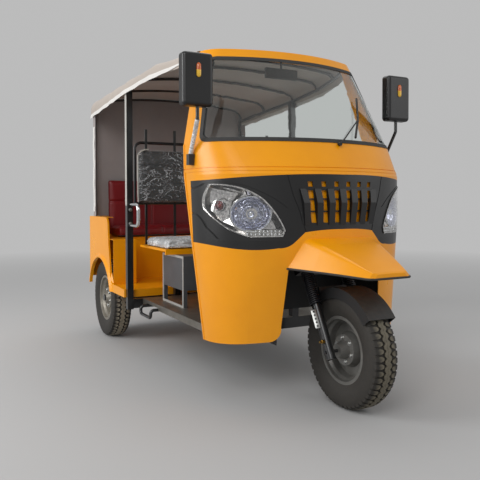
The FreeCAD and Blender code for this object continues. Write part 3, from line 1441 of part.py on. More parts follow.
def mirrors():
    """Black mirror housings, their glasses and the arms from the nose panel."""
    half = f"size.mirror_width / 2"
    x = (f"size.mirror_half - {half}", f"size.mirror_half + {half}")
    front = f"{FRONT} + 360"
    low = "size.mirror_centre - size.mirror_height / 2"
    high = "size.mirror_centre + size.mirror_height / 2"
    hull = block("mirror_hull", x, (front, f"{front} + size.mirror_depth"), (low, high))
    doc.recompute()
    round_off = doc.addObject("Part::Fillet", "mirror_round")
    round_off.Base = hull
    front_edges = [(number, 20, 20) for number, edge in enumerate(hull.Shape.Edges, 1)
                   if max(v.Point.y for v in edge.Vertexes) < hull.Shape.BoundBox.YMax - 1
                   or abs(edge.Vertexes[0].Point.y - edge.Vertexes[-1].Point.y) > 1]
    round_off.Edges = front_edges
    keep("mirror_housings", pair("mirror_housings", round_off))
    glass = block("mirror_glass", (f"size.mirror_half - {half} + 10", f"size.mirror_half + {half} - 10"),
                  (f"{front} + size.mirror_depth", f"{front} + size.mirror_depth + 3"),
                  (f"{low} + 12", f"{high} - 12"))
    keep("mirror_glasses", pair("mirror_glasses", glass))
    head = size.mirror_centre - size.mirror_height / 2 - size.seat_gap
    middle = front_y + 360 + size.mirror_depth / 2
    post = size.cowl_glass_half + size.seat_gap
    arm = bent_tube([(size.mirror_half - 4, middle, head), (size.mirror_half - 4, middle, head - 60),
                     (post + 13, front_y + 489, 1250), (post + 13, front_y + 489, 1205)], 9, 30)
    foot = Part.makeBox(35, 34, 56, Vector(post - 6, front_y + 472, 1196))
    shape = arm.fuse(foot).cut(cowl_block(1000, 1400, -size.seat_gap, 40)).removeSplitter()
    keep("mirror_arms", shaped("mirror_arms", both(shape)))


def wiper():
    """Wiper arm and blade on the windscreen's foot."""
    place = 48
    low = size.cowl_glass_height - 8
    spindle_y = cowl_front(place, low)
    spindle = Part.makeCylinder(9, 30, Vector(place, spindle_y - 22, low), Vector(0, 1, 0))
    spindle = spindle.cut(cowl_block(low - 60, low + 60, -size.seat_gap - 3, 60))
    tip = Vector(262, cowl_front(262, 1455) - 26, 1455)
    arm = bent_tube([(place, spindle_y - 20, low), (place + 20, spindle_y - 22, low + 24), tuple(tip)], 4, 20)
    blade_foot = Vector(180, cowl_front(180, 1345) - 17, 1345)
    blade_head = Vector(345, cowl_front(345, 1590) - 20, 1590)
    blade = bent_tube([tuple(blade_foot), tuple(tip + Vector(0, 2, 0)), tuple(blade_head)], 6, 400)
    keep("wiper", shaped("wiper", spindle.fuse([arm, blade]).removeSplitter()))


def interior_mirror():
    """Mirror hung from the brow inside the cab."""
    top = size.cowl_brow_height - size.brow_sheet - size.seat_gap
    y = front_y + 640
    stem = Part.makeCylinder(6, 60, Vector(0, y, top - 60), Vector(0, 0, 1))
    plate = Part.makeBox(210, 20, 58, Vector(-105, y - 10, top - 60 - 52))
    keep("interior_mirror", shaped("interior_mirror", stem.fuse(plate).removeSplitter()))


def tail_lamps():
    """A tall lamp at each end of the tail panel."""
    face = f"{REAR} + size.tail_back + size.sheet"
    lamp = block("tail_lamp", ("540", "630"), (face, f"{face} + 18"), ("560", "740"))
    keep("tail_lamps", pair("tail_lamps", lamp))


def build_all():
    """Make every sub-part."""
    for make in (front_shell, lamp_band, grille, nose_panel, windscreen_frame, windscreen, headlamps, beak,
                 wheel_well, dash_panel, front_fork, fork_springs, front_mudguard, handlebar, wheels,
                 chassis_frame, tow_eye, driver_floor, passenger_tub, rear_quarters, driver_seat,
                 backrest_frame, seat_box, engine_block, rear_axle, leaf_springs, pedals, rear_seat, canopy,
                 roof_frame, rear_curtain, grab_handles, mirrors, wiper, interior_mirror, tail_lamps):
        make()
    doc.recompute()


def check_all():
    """Stop at anything that failed to build."""
    for thing in doc.Objects:
        if "Invalid" in thing.State or "Error" in thing.State:
            raise RuntimeError(f"{thing.Name} failed: {thing.State}")
    for name, thing in nodes.items():
        if thing.Shape.isNull() or not thing.Shape.isValid() or not thing.Shape.Solids:
            raise RuntimeError(f"{name} has no valid solid")


def export_all():
    """Write each sub-part to its own file."""
    os.makedirs("parts", exist_ok=True)
    for name, thing in nodes.items():
        thing.Shape.exportStep(f"parts/{name}.step")
        box = thing.Shape.BoundBox
        print(f"{name:20s} solids {len(thing.Shape.Solids)} faces {len(thing.Shape.Faces):4d} "
              f"x {box.XMin:7.1f} {box.XMax:7.1f} y {box.YMin:8.1f} {box.YMax:8.1f} "
              f"z {box.ZMin:7.1f} {box.ZMax:7.1f}")


build_all()
check_all()
export_all()
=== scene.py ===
import bmesh
import bpy
import json
import math
from mathutils import Matrix, Vector, noise

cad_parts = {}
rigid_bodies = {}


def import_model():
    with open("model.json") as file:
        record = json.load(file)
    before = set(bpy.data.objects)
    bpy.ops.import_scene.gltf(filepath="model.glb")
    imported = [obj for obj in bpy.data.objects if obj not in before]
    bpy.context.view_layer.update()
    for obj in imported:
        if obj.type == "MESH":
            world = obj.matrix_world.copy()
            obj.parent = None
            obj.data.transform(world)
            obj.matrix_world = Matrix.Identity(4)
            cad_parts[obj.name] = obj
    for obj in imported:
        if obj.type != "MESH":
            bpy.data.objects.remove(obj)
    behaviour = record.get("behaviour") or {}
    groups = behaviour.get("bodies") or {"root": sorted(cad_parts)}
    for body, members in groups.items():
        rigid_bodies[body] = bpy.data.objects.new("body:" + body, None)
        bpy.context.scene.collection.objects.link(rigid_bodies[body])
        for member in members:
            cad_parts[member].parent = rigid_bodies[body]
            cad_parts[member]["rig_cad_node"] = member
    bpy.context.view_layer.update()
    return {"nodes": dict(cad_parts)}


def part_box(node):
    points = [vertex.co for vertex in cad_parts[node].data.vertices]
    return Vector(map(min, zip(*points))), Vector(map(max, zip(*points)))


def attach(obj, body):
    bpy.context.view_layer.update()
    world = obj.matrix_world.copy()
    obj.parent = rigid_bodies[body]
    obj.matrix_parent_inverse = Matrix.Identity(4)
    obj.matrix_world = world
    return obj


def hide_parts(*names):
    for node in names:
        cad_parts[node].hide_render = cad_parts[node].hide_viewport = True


bl_info = {
    "name": "Auto Rickshaw Dresser",
    "version": (1, 0, 0),
    "blender": (4, 5, 0),
    "location": "3D View > Sidebar > Rickshaw",
    "description": "Dresses a three-wheeled passenger auto rickshaw with its trim, seats, roof and finishes",
    "category": "Object",
}

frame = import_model()
NODES = frame["nodes"]

# Axles, as the frame has them, in metres
FRONT_Y = -1.085
REAR_Y = 1.052
AXLE_Z = 0.285
TRACK_HALF = 0.576

# Corners closer together than this are one corner
WELD = 1e-5


# Modelling

def deselect():
    """Nothing selected, in object mode."""
    if bpy.context.object and bpy.context.object.mode != "OBJECT":
        bpy.ops.object.mode_set(mode="OBJECT")
    bpy.ops.object.select_all(action="DESELECT")


def pick(*pieces):
    """Only these pieces selected, the last one active."""
    deselect()
    for piece in pieces:
        piece.hide_set(False)
        piece.select_set(True)
    bpy.context.view_layer.objects.active = pieces[-1]


def edit(piece, kind="FACE"):
    """Opens a piece in edit mode with all of it selected."""
    pick(piece)
    bpy.ops.object.mode_set(mode="EDIT")
    bpy.ops.mesh.select_mode(type=kind)
    bpy.ops.mesh.select_all(action="SELECT")


def leave():
    """Back to object mode."""
    bpy.ops.object.mode_set(mode="OBJECT")


def choose(piece, test, kind="FACE"):
    """In edit mode, selects only the faces, edges or corners that pass the test."""
    bpy.ops.mesh.select_mode(type=kind)
    bpy.ops.mesh.select_all(action="DESELECT")
    mesh = bmesh.from_edit_mesh(piece.data)
    for part in {"VERT": mesh.verts, "EDGE": mesh.edges, "FACE": mesh.faces}[kind]:
        part.select_set(bool(test(part)))
    mesh.select_flush_mode()
    bmesh.update_edit_mesh(piece.data)


def tidy_mesh(piece):
    """Merges doubles and turns every face outwards."""
    edit(piece)
    bpy.ops.mesh.remove_doubles(threshold=WELD)
    bpy.ops.mesh.normals_make_consistent(inside=False)
    leave()


def use(piece, kind, **settings):
    """Adds a modifier and applies it."""
    pick(piece)
    modifier = piece.modifiers.new(kind.title(), kind)
    for name, value in settings.items():
        setattr(modifier, name, value)
    bpy.ops.object.modifier_apply(modifier=modifier.name)


def trace(points):
    """A chain of edges drawn corner by corner."""
    deselect()
    bpy.ops.mesh.primitive_plane_add(size=0.001)
    piece = bpy.context.object
    edit(piece, "VERT")
    bpy.ops.mesh.merge(type="CENTER")
    bpy.ops.transform.translate(value=points[0])
    for start, end in zip(points, points[1:]):
        step = Vector(end) - Vector(start)
        bpy.ops.mesh.extrude_vertices_move(TRANSFORM_OT_translate={"value": step})
    leave()
    return piece


def turned(points, steps, axis=(1, 0, 0)):
    """A chain of edges spun once round an axis through the origin."""
    piece = trace(points)
    edit(piece, "EDGE")
    bpy.ops.mesh.spin(steps=steps, angle=math.tau, center=(0, 0, 0), axis=axis)
    leave()
    tidy_mesh(piece)
    return piece


def lathe(profile, steps):
    """A profile, as distances out and up, spun once round the Z axis."""
    return turned([(out, 0, up) for out, up in profile], steps, (0, 0, 1))


def inset(piece, test, thickness, depth, **settings):
    """Insets the faces that pass the test."""
    edit(piece)
    choose(piece, test)
    bpy.ops.mesh.inset(thickness=thickness, depth=depth, **settings)
    leave()


def cut_away(piece, test):
    """Deletes the faces that pass the test."""
    edit(piece)
    choose(piece, test)
    bpy.ops.mesh.delete(type="FACE")
    leave()


def plate(points, step):
    """A flat outline filled and drawn out by step."""
    piece = trace(list(points) + [points[0]])
    edit(piece, "VERT")
    bpy.ops.mesh.remove_doubles(threshold=WELD)
    bpy.ops.mesh.edge_face_add()
    bpy.ops.mesh.extrude_region_move(TRANSFORM_OT_translate={"value": step})
    leave()
    tidy_mesh(piece)
    return piece


def tube(points, radius, sides, smooth=True):
    """A round bar along a line of points."""
    line = bpy.data.curves.new("Line", "CURVE")
    line.dimensions = "3D"
    line.bevel_depth = radius
    line.bevel_resolution = max(0, sides // 4 - 1)
    line.use_fill_caps = True
    run = line.splines.new("NURBS" if smooth else "POLY")
    run.points.add(len(points) - 1)
    for spot, place in zip(run.points, points):
        spot.co = (*place, 1)
    if smooth:
        run.order_u = 3
        run.use_endpoint_u = True
        run.resolution_u = 6
    piece = bpy.data.objects.new("Line", line)
    bpy.context.scene.collection.objects.link(piece)
    pick(piece)
    bpy.ops.object.convert(target="MESH")
    tidy_mesh(bpy.context.object)
    return bpy.context.object


def reshape(piece, move):
    """Moves each corner of a mesh to move(corner)."""
    for corner in piece.data.vertices:
        corner.co = move(corner.co)
    piece.data.update()


def copied(piece, matrix=None, turned_out=False):
    """A copy with a mesh of its own, placed by matrix; a mirrored one has its faces turned out again."""
    twin = piece.copy()
    twin.data = piece.data.copy()
    bpy.context.scene.collection.objects.link(twin)
    if matrix is not None:
        twin.data.transform(matrix)
    if turned_out:
        tidy_mesh(twin)
    return twin


def joined(*pieces):
    """Several meshes in one piece, the last one's."""
    if len(pieces) > 1:
        pick(*pieces)
        bpy.ops.object.join()
    return pieces[-1]


def settle(piece, name, body, slot, *finishes, smooth=35):
    """Names a piece, gives it its finishes and seats it on its body."""
    pick(piece)
    bpy.ops.object.transform_apply(location=True, rotation=True, scale=True)
    if smooth:
        bpy.ops.object.shade_smooth_by_angle(angle=math.radians(smooth))
    piece.name = name
    piece.data.name = name
    if finishes:
        piece.data.materials.clear()
        for finish_name in finishes:
            piece.data.materials.append(FINISHES[finish_name])
    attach(piece, body)
    return piece


def from_node(name):
    """A welded copy of a CAD node, to shape further."""
    source = NODES[name]
    twin = source.copy()
    twin.data = source.data.copy()
    twin.parent = None
    twin.matrix_world = Matrix()
    bpy.context.scene.collection.objects.link(twin)
    if "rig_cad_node" in twin:
        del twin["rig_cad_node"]
    for key in list(twin.keys()):
        if key.startswith("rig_"):
            del twin[key]
    edit(twin)
    bpy.ops.mesh.customdata_custom_splitnormals_clear()
    bpy.ops.mesh.remove_doubles(threshold=WELD)
    leave()
    return twin


# Finishes

FINISHES = {}


def linear(code):
    """An sRGB hex colour as linear numbers."""
    values = [int(code[place:place + 2], 16) / 255 for place in (1, 3, 5)]
    return [v / 12.92 if v <= 0.04045 else ((v + 0.055) / 1.055) ** 2.4 for v in values] + [1.0]


def add_node(tree, kind, values=None, links=None, **settings):
    """One shader node with its settings, its socket values and what is linked into it."""
    node = tree.nodes.new(kind)
    for name, value in settings.items():
        setattr(node, name, value)
    for socket, value in (values or {}).items():
        node.inputs[socket].default_value = value
    for socket, source in (links or {}).items():
        tree.links.new(source, node.inputs[socket])
    return node


def mixed_in(tree, kind, inputs, **settings):
    """A node whose inputs are given as numbers, as colour codes or as what is linked into them."""
    links = {name: side for name, side in inputs.items() if isinstance(side, bpy.types.NodeSocket)}
    values = {name: linear(side) if isinstance(side, str) else side
              for name, side in inputs.items() if name not in links}
    return add_node(tree, kind, values, links, **settings)


def blank(name):
    """A new material, its empty node tree and the piece's own coordinates."""
    material = bpy.data.materials.new(name)
    material.use_nodes = True
    tree = material.node_tree
    tree.nodes.clear()
    FINISHES[name] = material
    return tree, add_node(tree, "ShaderNodeTexCoord").outputs["Object"]


def surface(tree, shader):
    """Joins the shader to the material's output."""
    add_node(tree, "ShaderNodeOutputMaterial", links={"Surface": shader.outputs[0]})


class Finish:
    """A new material, with short calls for what it is mixed from. Scales are per metre."""

    def __init__(self, name):
        self.tree, self.place = blank(name)

    def noise(self, scale, detail=2.0, place=None, **values):
        """Cloudy noise."""
        return add_node(self.tree, "ShaderNodeTexNoise", {"Scale": scale, "Detail": detail, **values},
                        {"Vector": self.place if place is None else place}).outputs["Fac"]

    def cells(self, scale, **settings):
        """Distance from the middle of the nearest cell."""
        return add_node(self.tree, "ShaderNodeTexVoronoi", {"Scale": scale}, {"Vector": self.place},
                        **settings).outputs["Distance"]

    def stretched(self, scale):
        """The piece's own coordinates, stretched."""
        return add_node(self.tree, "ShaderNodeMapping", {"Scale": scale},
                        {"Vector": self.place}).outputs["Vector"]

    def split(self, source):
        """The three parts of a vector."""
        return add_node(self.tree, "ShaderNodeSeparateXYZ", None, {"Vector": source}).outputs

    def span(self, value, low, high, start=0.0, end=1.0):
        """What runs from start to end, carried over to run from low to high."""
        return add_node(self.tree, "ShaderNodeMapRange",
                        {"From Min": start, "From Max": end, "To Min": low, "To Max": high},
                        {"Value": value}).outputs["Result"]

    def mix(self, factor, first, second):
        """A colour between two."""
        return mixed_in(self.tree, "ShaderNodeMix", {"Factor": factor, "A": first, "B": second},
                        data_type="RGBA").outputs["Result"]

    def number(self, operation, *sides):
        """One step of arithmetic."""
        return mixed_in(self.tree, "ShaderNodeMath", dict(enumerate(sides)), operation=operation).outputs[0]

    def vector(self, operation, *sides):
        """One step of arithmetic with vectors; a length comes out as a number."""
        return mixed_in(self.tree, "ShaderNodeVectorMath", dict(enumerate(sides)),
                        operation=operation).outputs["Value" if operation == "LENGTH" else "Vector"]

    def skin(self, colour, rough, relief=None, invert=False, **values):
        """The surface itself; relief is its height, strength and depth in metres."""
        inputs = {name.replace("_", " "): value for name, value in values.items()}
        inputs.update({"Base Color": colour, "Roughness": rough})
        if relief:
            height, strength, depth = relief
            bump = add_node(self.tree, "ShaderNodeBump", {"Strength": strength, "Distance": depth},
                            {"Height": height}, invert=invert)
            inputs["Normal"] = bump.outputs["Normal"]
        surface(self.tree, mixed_in(self.tree, "ShaderNodeBsdfPrincipled", inputs))


def orange_enamel():
    """Two-coat enamel sprayed on pressed sheet and moulded panels. Gloss, with a faint orange peel about
    4 mm from crest to crest, and paler where dust has settled low down."""
    paint = Finish("gloss_orange_enamel")
    cloud = paint.noise(2.4, 5.0, Roughness=0.6)
    tint = paint.mix(paint.span(cloud, 0.0, 1.0, 0.35, 0.75), "#f7a200", "#ec9700")
    low = paint.span(paint.split(paint.place)["Z"], 0.0, 0.10, 0.62, 0.3)
    dust = paint.number("MULTIPLY", low, paint.noise(160.0, 3.0))
    paint.skin(paint.mix(dust, tint, "#b98a50"), paint.span(cloud, 0.24, 0.34),
               (paint.noise(240.0, 1.0), 0.03, 0.001), IOR=1.45)


def satin_moulding():
    """Black ABS, its grain about 1.5 mm across: satin, with soft sheen and a few dull patches."""
    plastic = Finish("satin_black_abs")
    cloud = plastic.noise(6.0, 4.0)
    plastic.skin(plastic.mix(cloud, "#0c0c0d", "#131314"), plastic.span(cloud, 0.3, 0.46),
                 (plastic.cells(620.0), 0.06, 0.0004), IOR=1.53)


def matt_moulding():
    """Black polypropylene, moulded and matt, greyed by dust on what faces up."""
    plastic = Finish("matt_black_polypropylene")
    facing = plastic.split(add_node(plastic.tree, "ShaderNodeNewGeometry").outputs["Normal"])["Z"]
    film = plastic.number("MULTIPLY", plastic.span(facing, 0.0, 0.5, 0.2), plastic.noise(45.0, 6.0))
    plastic.skin(plastic.mix(film, "#19191a", "#5d574e"), 0.55, (plastic.noise(700.0), 0.15, 0.0005),
                 IOR=1.49)


def black_enamel():
    """Black stoved enamel on steel tube: glossy, slightly wavy, with grey scuffs on a few spots."""
    enamel = Finish("black_stoved_enamel")
    scuff = enamel.noise(30.0, 8.0, Roughness=0.7)
    enamel.skin(enamel.mix(enamel.span(scuff, 0.0, 0.55, 0.62, 0.78), "#141416", "#4e4c49"),
                enamel.span(scuff, 0.22, 0.5), (scuff, 0.05, 0.001), IOR=1.5, Coat_Weight=0.4,
                Coat_Roughness=0.1)


def moulded_rubber():
    """Extruded black rubber: matt, evenly dark, with a slight bloom."""
    rubber = Finish("extruded_black_rubber")
    bloom = rubber.noise(25.0, 6.0)
    rubber.skin(rubber.mix(bloom, "#1c1c1c", "#2f2e2c"), 0.62, (bloom, 0.1, 0.0006), IOR=1.52)


def tyre_compound(name, axle_y, tread_colour):
    """Vulcanised tyre rubber: dark brown-black walls, the tread ground grey-brown by road dust."""
    rubber = Finish(name)
    centred = add_node(rubber.tree, "ShaderNodeMapping", {"Location": (0.0, -axle_y, -AXLE_Z)},
                       {"Vector": rubber.place}).outputs["Vector"]
    radius = rubber.vector("LENGTH", rubber.vector("MULTIPLY", centred, (0.0, 1.0, 1.0)))
    speck = rubber.noise(60.0, 8.0, Roughness=0.65)
    film = rubber.number("MULTIPLY", rubber.span(radius, 0.0, 1.0, 0.2776, 0.2832),
                      rubber.span(speck, 0.55, 1.0, 0.3, 0.7))
    wall = rubber.mix(speck, "#1e1c1a", "#37332d")
    rubber.skin(rubber.mix(film, wall, tread_colour), 0.7, (speck, 0.25, 0.0008), IOR=1.52)


def silver_paint(name, bright, dull):
    """Aluminium-flake lacquer on a pressed rim: soft grey metal shine with brake dust in the recesses."""
    paint = Finish(name)
    dust = paint.noise(14.0, 8.0, Roughness=0.6)
    paint.skin(paint.mix(dust, dull, bright), paint.span(dust, 0.5, 0.3), (paint.noise(1400.0), 0.04, 0.0003),
               Metallic=0.55)


def bare_sheet():
    """Rolled aluminium sheet: drawn lines along the vehicle and dull scuffs where feet go."""
    metal = Finish("rolled_aluminium_sheet")
    scuff = metal.noise(9.0, 8.0)
    lines = metal.noise(1.0, 3.0, metal.stretched((500.0, 12.0, 500.0)))
    metal.skin(metal.mix(scuff, "#5e5a52", "#9b968e"), metal.span(scuff, 0.55, 0.3), (lines, 0.12, 0.0004),
               Metallic=0.85)


def cast_alloy():
    """Sand-cast aluminium alloy: dull grey with a coarse grain and oily stains."""
    metal = Finish("sand_cast_alloy")
    metal.skin(metal.mix(metal.noise(11.0, 7.0), "#4b4742", "#918f8c"), 0.6,
               (metal.noise(420.0, 3.0), 0.4, 0.001), Metallic=0.7)


def polished_chrome():
    """Bright nickel-chrome plate on steel tube: mirror-bright with faint hand marks."""
    metal = Finish("bright_chrome_plate")
    marks = metal.noise(35.0, 6.0)
    metal.skin(metal.mix(marks, "#c9cacc", "#e8e9ea"), metal.span(marks, 0.05, 0.18), Metallic=1.0)


def silvered_glass():
    """Mirror glass silvered at the back: sharp grey reflections and a little dust."""
    glass = Finish("silvered_mirror_glass")
    glass.skin("#dfe3e5", glass.span(glass.noise(90.0, 5.0), 0.02, 0.09), Metallic=1.0)


def clear_pane(name, tint, refraction, haze):
    """A clear pane: colourless, with a veil of dust that catches the light."""
    glass = Finish(name)
    glass.skin(tint, glass.span(glass.noise(7.0, 6.0), 0.0, haze), Transmission_Weight=1.0, IOR=refraction)


def lamp_plating(name, dull, bright, strength, rough):
    """Vacuum-aluminised plastic inside a headlamp: mirror bright, its surface broken up by soft ripples
    about 12 mm wide, with the violet-grey cast that such plating has where it is thin."""
    metal = Finish(name)
    ripple = metal.cells(80.0)
    metal.skin(metal.mix(ripple, dull, bright), rough, (ripple, strength, 0.003), Metallic=1.0)


def tinted_lens(name, deep, bright):
    """Coloured polycarbonate lens, moulded with small prisms about 5 mm wide."""
    lens = Finish(name)
    prism = lens.cells(190.0, distance="CHEBYCHEV")
    lens.skin(lens.mix(prism, deep, bright), 0.12, (prism, 0.3, 0.001), IOR=1.585, Coat_Weight=0.5,
              Coat_Roughness=0.05)


def vinyl(name, deep, worn):
    """Vinyl-coated seat cloth: a pebbled leather grain about 2 mm across, glossier on the crests."""
    cover = Finish(name)
    pebble = cover.cells(480.0)
    cover.skin(cover.mix(cover.noise(5.0, 6.0), deep, worn), cover.span(pebble, 0.5, 0.32),
               (pebble, 0.35, 0.0006), IOR=1.53)


def coated_cloth(name, pale, dark, sheen):
    """PVC-coated polyester: a plain weave showing through the coat, soiled in soft clouds.
    The real thread is 0.6 mm; it is drawn at 3 mm so that it shows."""
    cloth = Finish(name)
    weave = add_node(cloth.tree, "ShaderNodeTexChecker", {"Scale": 1.0},
                     {"Vector": cloth.stretched((333.0, 333.0, 333.0))}).outputs["Fac"]
    relief = cloth.number("ADD", cloth.number("MULTIPLY", weave, 0.08), cloth.noise(14.0, 4.0))
    cloth.skin(cloth.mix(cloth.noise(3.2, 7.0, Roughness=0.62), dark, pale), 0.6, (relief, 0.3, 0.004),
               IOR=1.5, Sheen_Weight=sheen)


def punched_sheet():
    """Grey enamelled steel punched in rows of 6 mm holes on a 12 mm pitch, dark behind the holes."""
    metal = Finish("punched_grey_sheet")
    parts = metal.split(metal.place)
    grid = add_node(metal.tree, "ShaderNodeCombineXYZ", None,
                    {"X": metal.number("ADD", parts["X"], parts["Y"]), "Y": parts["Z"]}).outputs[0]
    cell = metal.vector("MODULO", grid, (0.012, 0.012, 0.012))
    away = metal.vector("LENGTH", metal.vector("SUBTRACT", cell, (0.006, 0.006, 0.0)))
    hole = metal.span(away, 0.0, 1.0, 0.0034, 0.0029)
    face = metal.mix(metal.noise(12.0, 6.0), "#3f4042", "#57585b")
    metal.skin(metal.mix(hole, face, "#151516"), 0.5, (hole, 0.6, 0.001), invert=True, IOR=1.5)


def plain_enamel(name, code, dull_code, rough, metal=0.0):
    """Small fittings in one finish, with a little soiling and an uneven shine."""
    paint = Finish(name)
    soil = paint.noise(40.0, 6.0)
    paint.skin(paint.mix(soil, dull_code, code), paint.span(soil, rough + 0.1, rough), Metallic=metal)


def crinkled_film(name, stretch, scale, flat_cover, highlight_width, highlight_cover):
    """Clear polyethylene wrapping left on the seats: almost unseen where it lies flat. The white along its
    sharp creases, which run mostly across the seat, is painted highlight: opaque white where the film would
    catch the light."""
    film = Finish(name)
    fold = film.noise(scale, 4.0, film.stretched(stretch), Distortion=2.2)
    sharp = film.number("ABSOLUTE", film.number("SUBTRACT", fold, 0.5))
    # Painted highlight: white laid along the creases, where the film would shine.
    crease_highlight = film.span(sharp, 0.0, 1.0, highlight_width, 0.0)
    loose = film.span(film.noise(7.0, 3.0), 0.0, highlight_cover, 0.36, 0.56)
    # The film's cover: its faint flat whiteness plus the painted crease highlights.
    cover = film.number("ADD", film.number("MULTIPLY", crease_highlight, loose), flat_cover)
    film.skin("#eceef0", 0.14, (fold, 0.7, 0.008), IOR=1.51, Alpha=cover)


def make_finishes():
    """Every finish on the vehicle."""
    for make in (orange_enamel, satin_moulding, matt_moulding, black_enamel, moulded_rubber, bare_sheet,
                 cast_alloy, polished_chrome, silvered_glass, punched_sheet):
        make()
    tyre_compound("front_tyre_rubber", FRONT_Y, "#6f6858")
    tyre_compound("rear_tyre_rubber", REAR_Y, "#9c927f")
    silver_paint("grey_rim_lacquer", "#8d8c88", "#4f4d49")
    # The rear rims get a paler, warmer copy of the front rims' silver: painted light, the same lacquer drawn
    # lighter where light falls on the rear wheels.
    silver_paint("rear_rim_lacquer_painted_lit", "#a9a499", "#6d685e")
    clear_pane("clear_safety_glass", "#f4faf7", 1.52, 0.05)
    clear_pane("clear_polycarbonate", "#fbfcfd", 1.585, 0.04)
    lamp_plating("aluminised_reflector", "#8d8fa6", "#e9ebf6", 0.25, 0.10)
    lamp_plating("bright_lamp_plating", "#9b9896", "#e4e1dd", 0.06, 0.16)
    tinted_lens("red_polycarbonate", "#5c0606", "#a81410")
    tinted_lens("amber_polycarbonate", "#a33a07", "#ef7a16")
    tinted_lens("yellow_polycarbonate", "#d99a10", "#ffd83a")
    vinyl("black_pebbled_vinyl", "#1b1a1a", "#2b2928")
    vinyl("maroon_pebbled_vinyl", "#6d0c12", "#84141a")
    vinyl("pale_piping_vinyl", "#b4afa5", "#d0cbc1")
    coated_cloth("grey_canopy_cloth", "#bbb0a6", "#a2978d", 0.15)
    coated_cloth("brown_lining_cloth", "#94887d", "#786c63", 0.1)
    coated_cloth("grey_curtain_cloth", "#a39a98", "#8a8280", 0.15)
    coated_cloth("white_hem_cloth", "#e6e4e0", "#d0cdc8", 0.1)
    plain_enamel("pale_grey_enamel", "#b7b6b2", "#8d8b86", 0.35)
    plain_enamel("black_spring_enamel", "#1c1c22", "#111115", 0.2)
    plain_enamel("zinc_plate", "#b9bab8", "#8a8a86", 0.3, 1.0)
    plain_enamel("brass_fitting", "#c59a4b", "#8b6a2e", 0.3, 1.0)
    plain_enamel("light_grey_paint", "#c9c7c1", "#a3a09a", 0.45)
    # Both films get painted highlights along their creases. The crumpled film's even half-white cover is
    # partly the film's own milkiness and partly painted highlight.
    crinkled_film("clear_wrapping_film", (0.5, 1.0, 0.8), 20.0, 0.05, 0.02, 0.75)
    crinkled_film("crumpled_wrapping_film", (0.3, 1.0, 1.0), 17.0, 0.5, 0.1, 0.5)


# What is made of which finish, as the CAD pieces show
WORN_BY = {
    "gloss_orange_enamel": "front_shell nose_panel windscreen_frame beak rear_quarters passenger_tub"
                           " seat_board",
    "satin_black_abs": "lamp_band grille mirror_housings",
    "matt_black_polypropylene": "wheel_well dash_panel front_mudguard wiper interior_mirror",
    "extruded_black_rubber": "windscreen_gasket",
    "clear_safety_glass": "windscreen_glass",
    "clear_polycarbonate": "headlamp_lenses",
    "bright_lamp_plating": "headlamp_housings",
    "black_stoved_enamel": "front_fork handlebar chassis_frame tow_eye backrest_frame rear_axle leaf_springs"
                           " pedals roof_frame mirror_arms",
    "black_spring_enamel": "fork_springs",
    "rolled_aluminium_sheet": "driver_floor",
    "punched_grey_sheet": "seat_box",
    "sand_cast_alloy": "engine_block",
    "grey_rim_lacquer": "front_rim",
    # The rear rims wear the lit copy of the rim lacquer: painted light, not a paler paint.
    "rear_rim_lacquer_painted_lit": "rear_left_rim rear_right_rim",
    "front_tyre_rubber": "front_tyre",
    "rear_tyre_rubber": "rear_left_tyre rear_right_tyre",
    "bright_chrome_plate": "grab_handles",
    "silvered_mirror_glass": "mirror_glasses",
    "red_polycarbonate": "tail_lamps",
    "black_pebbled_vinyl": "driver_cushion driver_backrest",
    "maroon_pebbled_vinyl": "rear_cushion rear_backrest",
    "grey_canopy_cloth": "canopy",
    "grey_curtain_cloth": "rear_curtain",
}

# Canopy arches, front to back, in metres: distance along, half width, crown height,
# corner radius, crown radius, hem height
ARCHES = [
    (-0.395, 0.522, 1.840, 0.034, 30.0, 1.792),
    (-0.255, 0.560, 1.880, 0.090, 4.0, 1.780),
    (0.045, 0.630, 1.886, 0.090, 4.0, 1.762),
    (0.433, 0.662, 1.868, 0.090, 4.0, 1.735),
    (1.317, 0.662, 1.850, 0.090, 4.0, 1.680),
]
# Steps along an arch's side, its corner and half its crown
SIDE_STEPS, CORNER_STEPS, CROWN_STEPS = 5, 8, 12


def arch_at(place):
    """The canopy's section values at a place along the vehicle."""
    for low, high in zip(ARCHES, ARCHES[1:]):
        if place <= high[0] or high is ARCHES[-1]:
            share = (place - low[0]) / (high[0] - low[0])
            return [a + share * (b - a) for a, b in zip(low, high)]


def arch_line(row):
    """Points over one arch, right hem to left hem."""
    place, half, crown, corner, sweep, hem = row
    inner = half - corner
    base = crown - sweep
    reach = math.sqrt((sweep - corner) ** 2 - inner ** 2)
    corner_z = base + reach
    lean = math.atan2(reach, inner)
    points = []
    for step in range(SIDE_STEPS):
        points.append((half, hem + (corner_z - hem) * step / SIDE_STEPS))
    for step in range(CORNER_STEPS):
        turn = lean * step / CORNER_STEPS
        points.append((inner + corner * math.cos(turn), corner_z + corner * math.sin(turn)))
    for step in range(CROWN_STEPS + 1):
        turn = lean + (math.pi / 2 - lean) * step / CROWN_STEPS
        points.append((sweep * math.cos(turn), base + sweep * math.sin(turn)))
    mirror = [(-x, z) for x, z in points[-2::-1]]
    return [(-x, z) for x, z in (points + mirror)]


def cloth_of(rows, name, slot, finish_name, thickness):
    """A thin cloth through rows of points, seated on the chassis."""
    cloth = sheet_of(rows, name)
    tidy_mesh(cloth)
    use(cloth, "SOLIDIFY", thickness=thickness, offset=0.0)
    return settle(cloth, name, "chassis", slot, finish_name, smooth=60)


def sheet_of(rows, name):
    """A mesh of quads through rows of points."""
    mesh = bpy.data.meshes.new(name)
    wide = len(rows[0])
    corners = [point for row in rows for point in row]
    quads = [(r * wide + c, r * wide + c + 1, (r + 1) * wide + c + 1, (r + 1) * wide + c)
             for r in range(len(rows) - 1) for c in range(wide - 1)]
    mesh.from_pydata(corners, [], quads)
    piece = bpy.data.objects.new(name, mesh)
    bpy.context.scene.collection.objects.link(piece)
    return piece


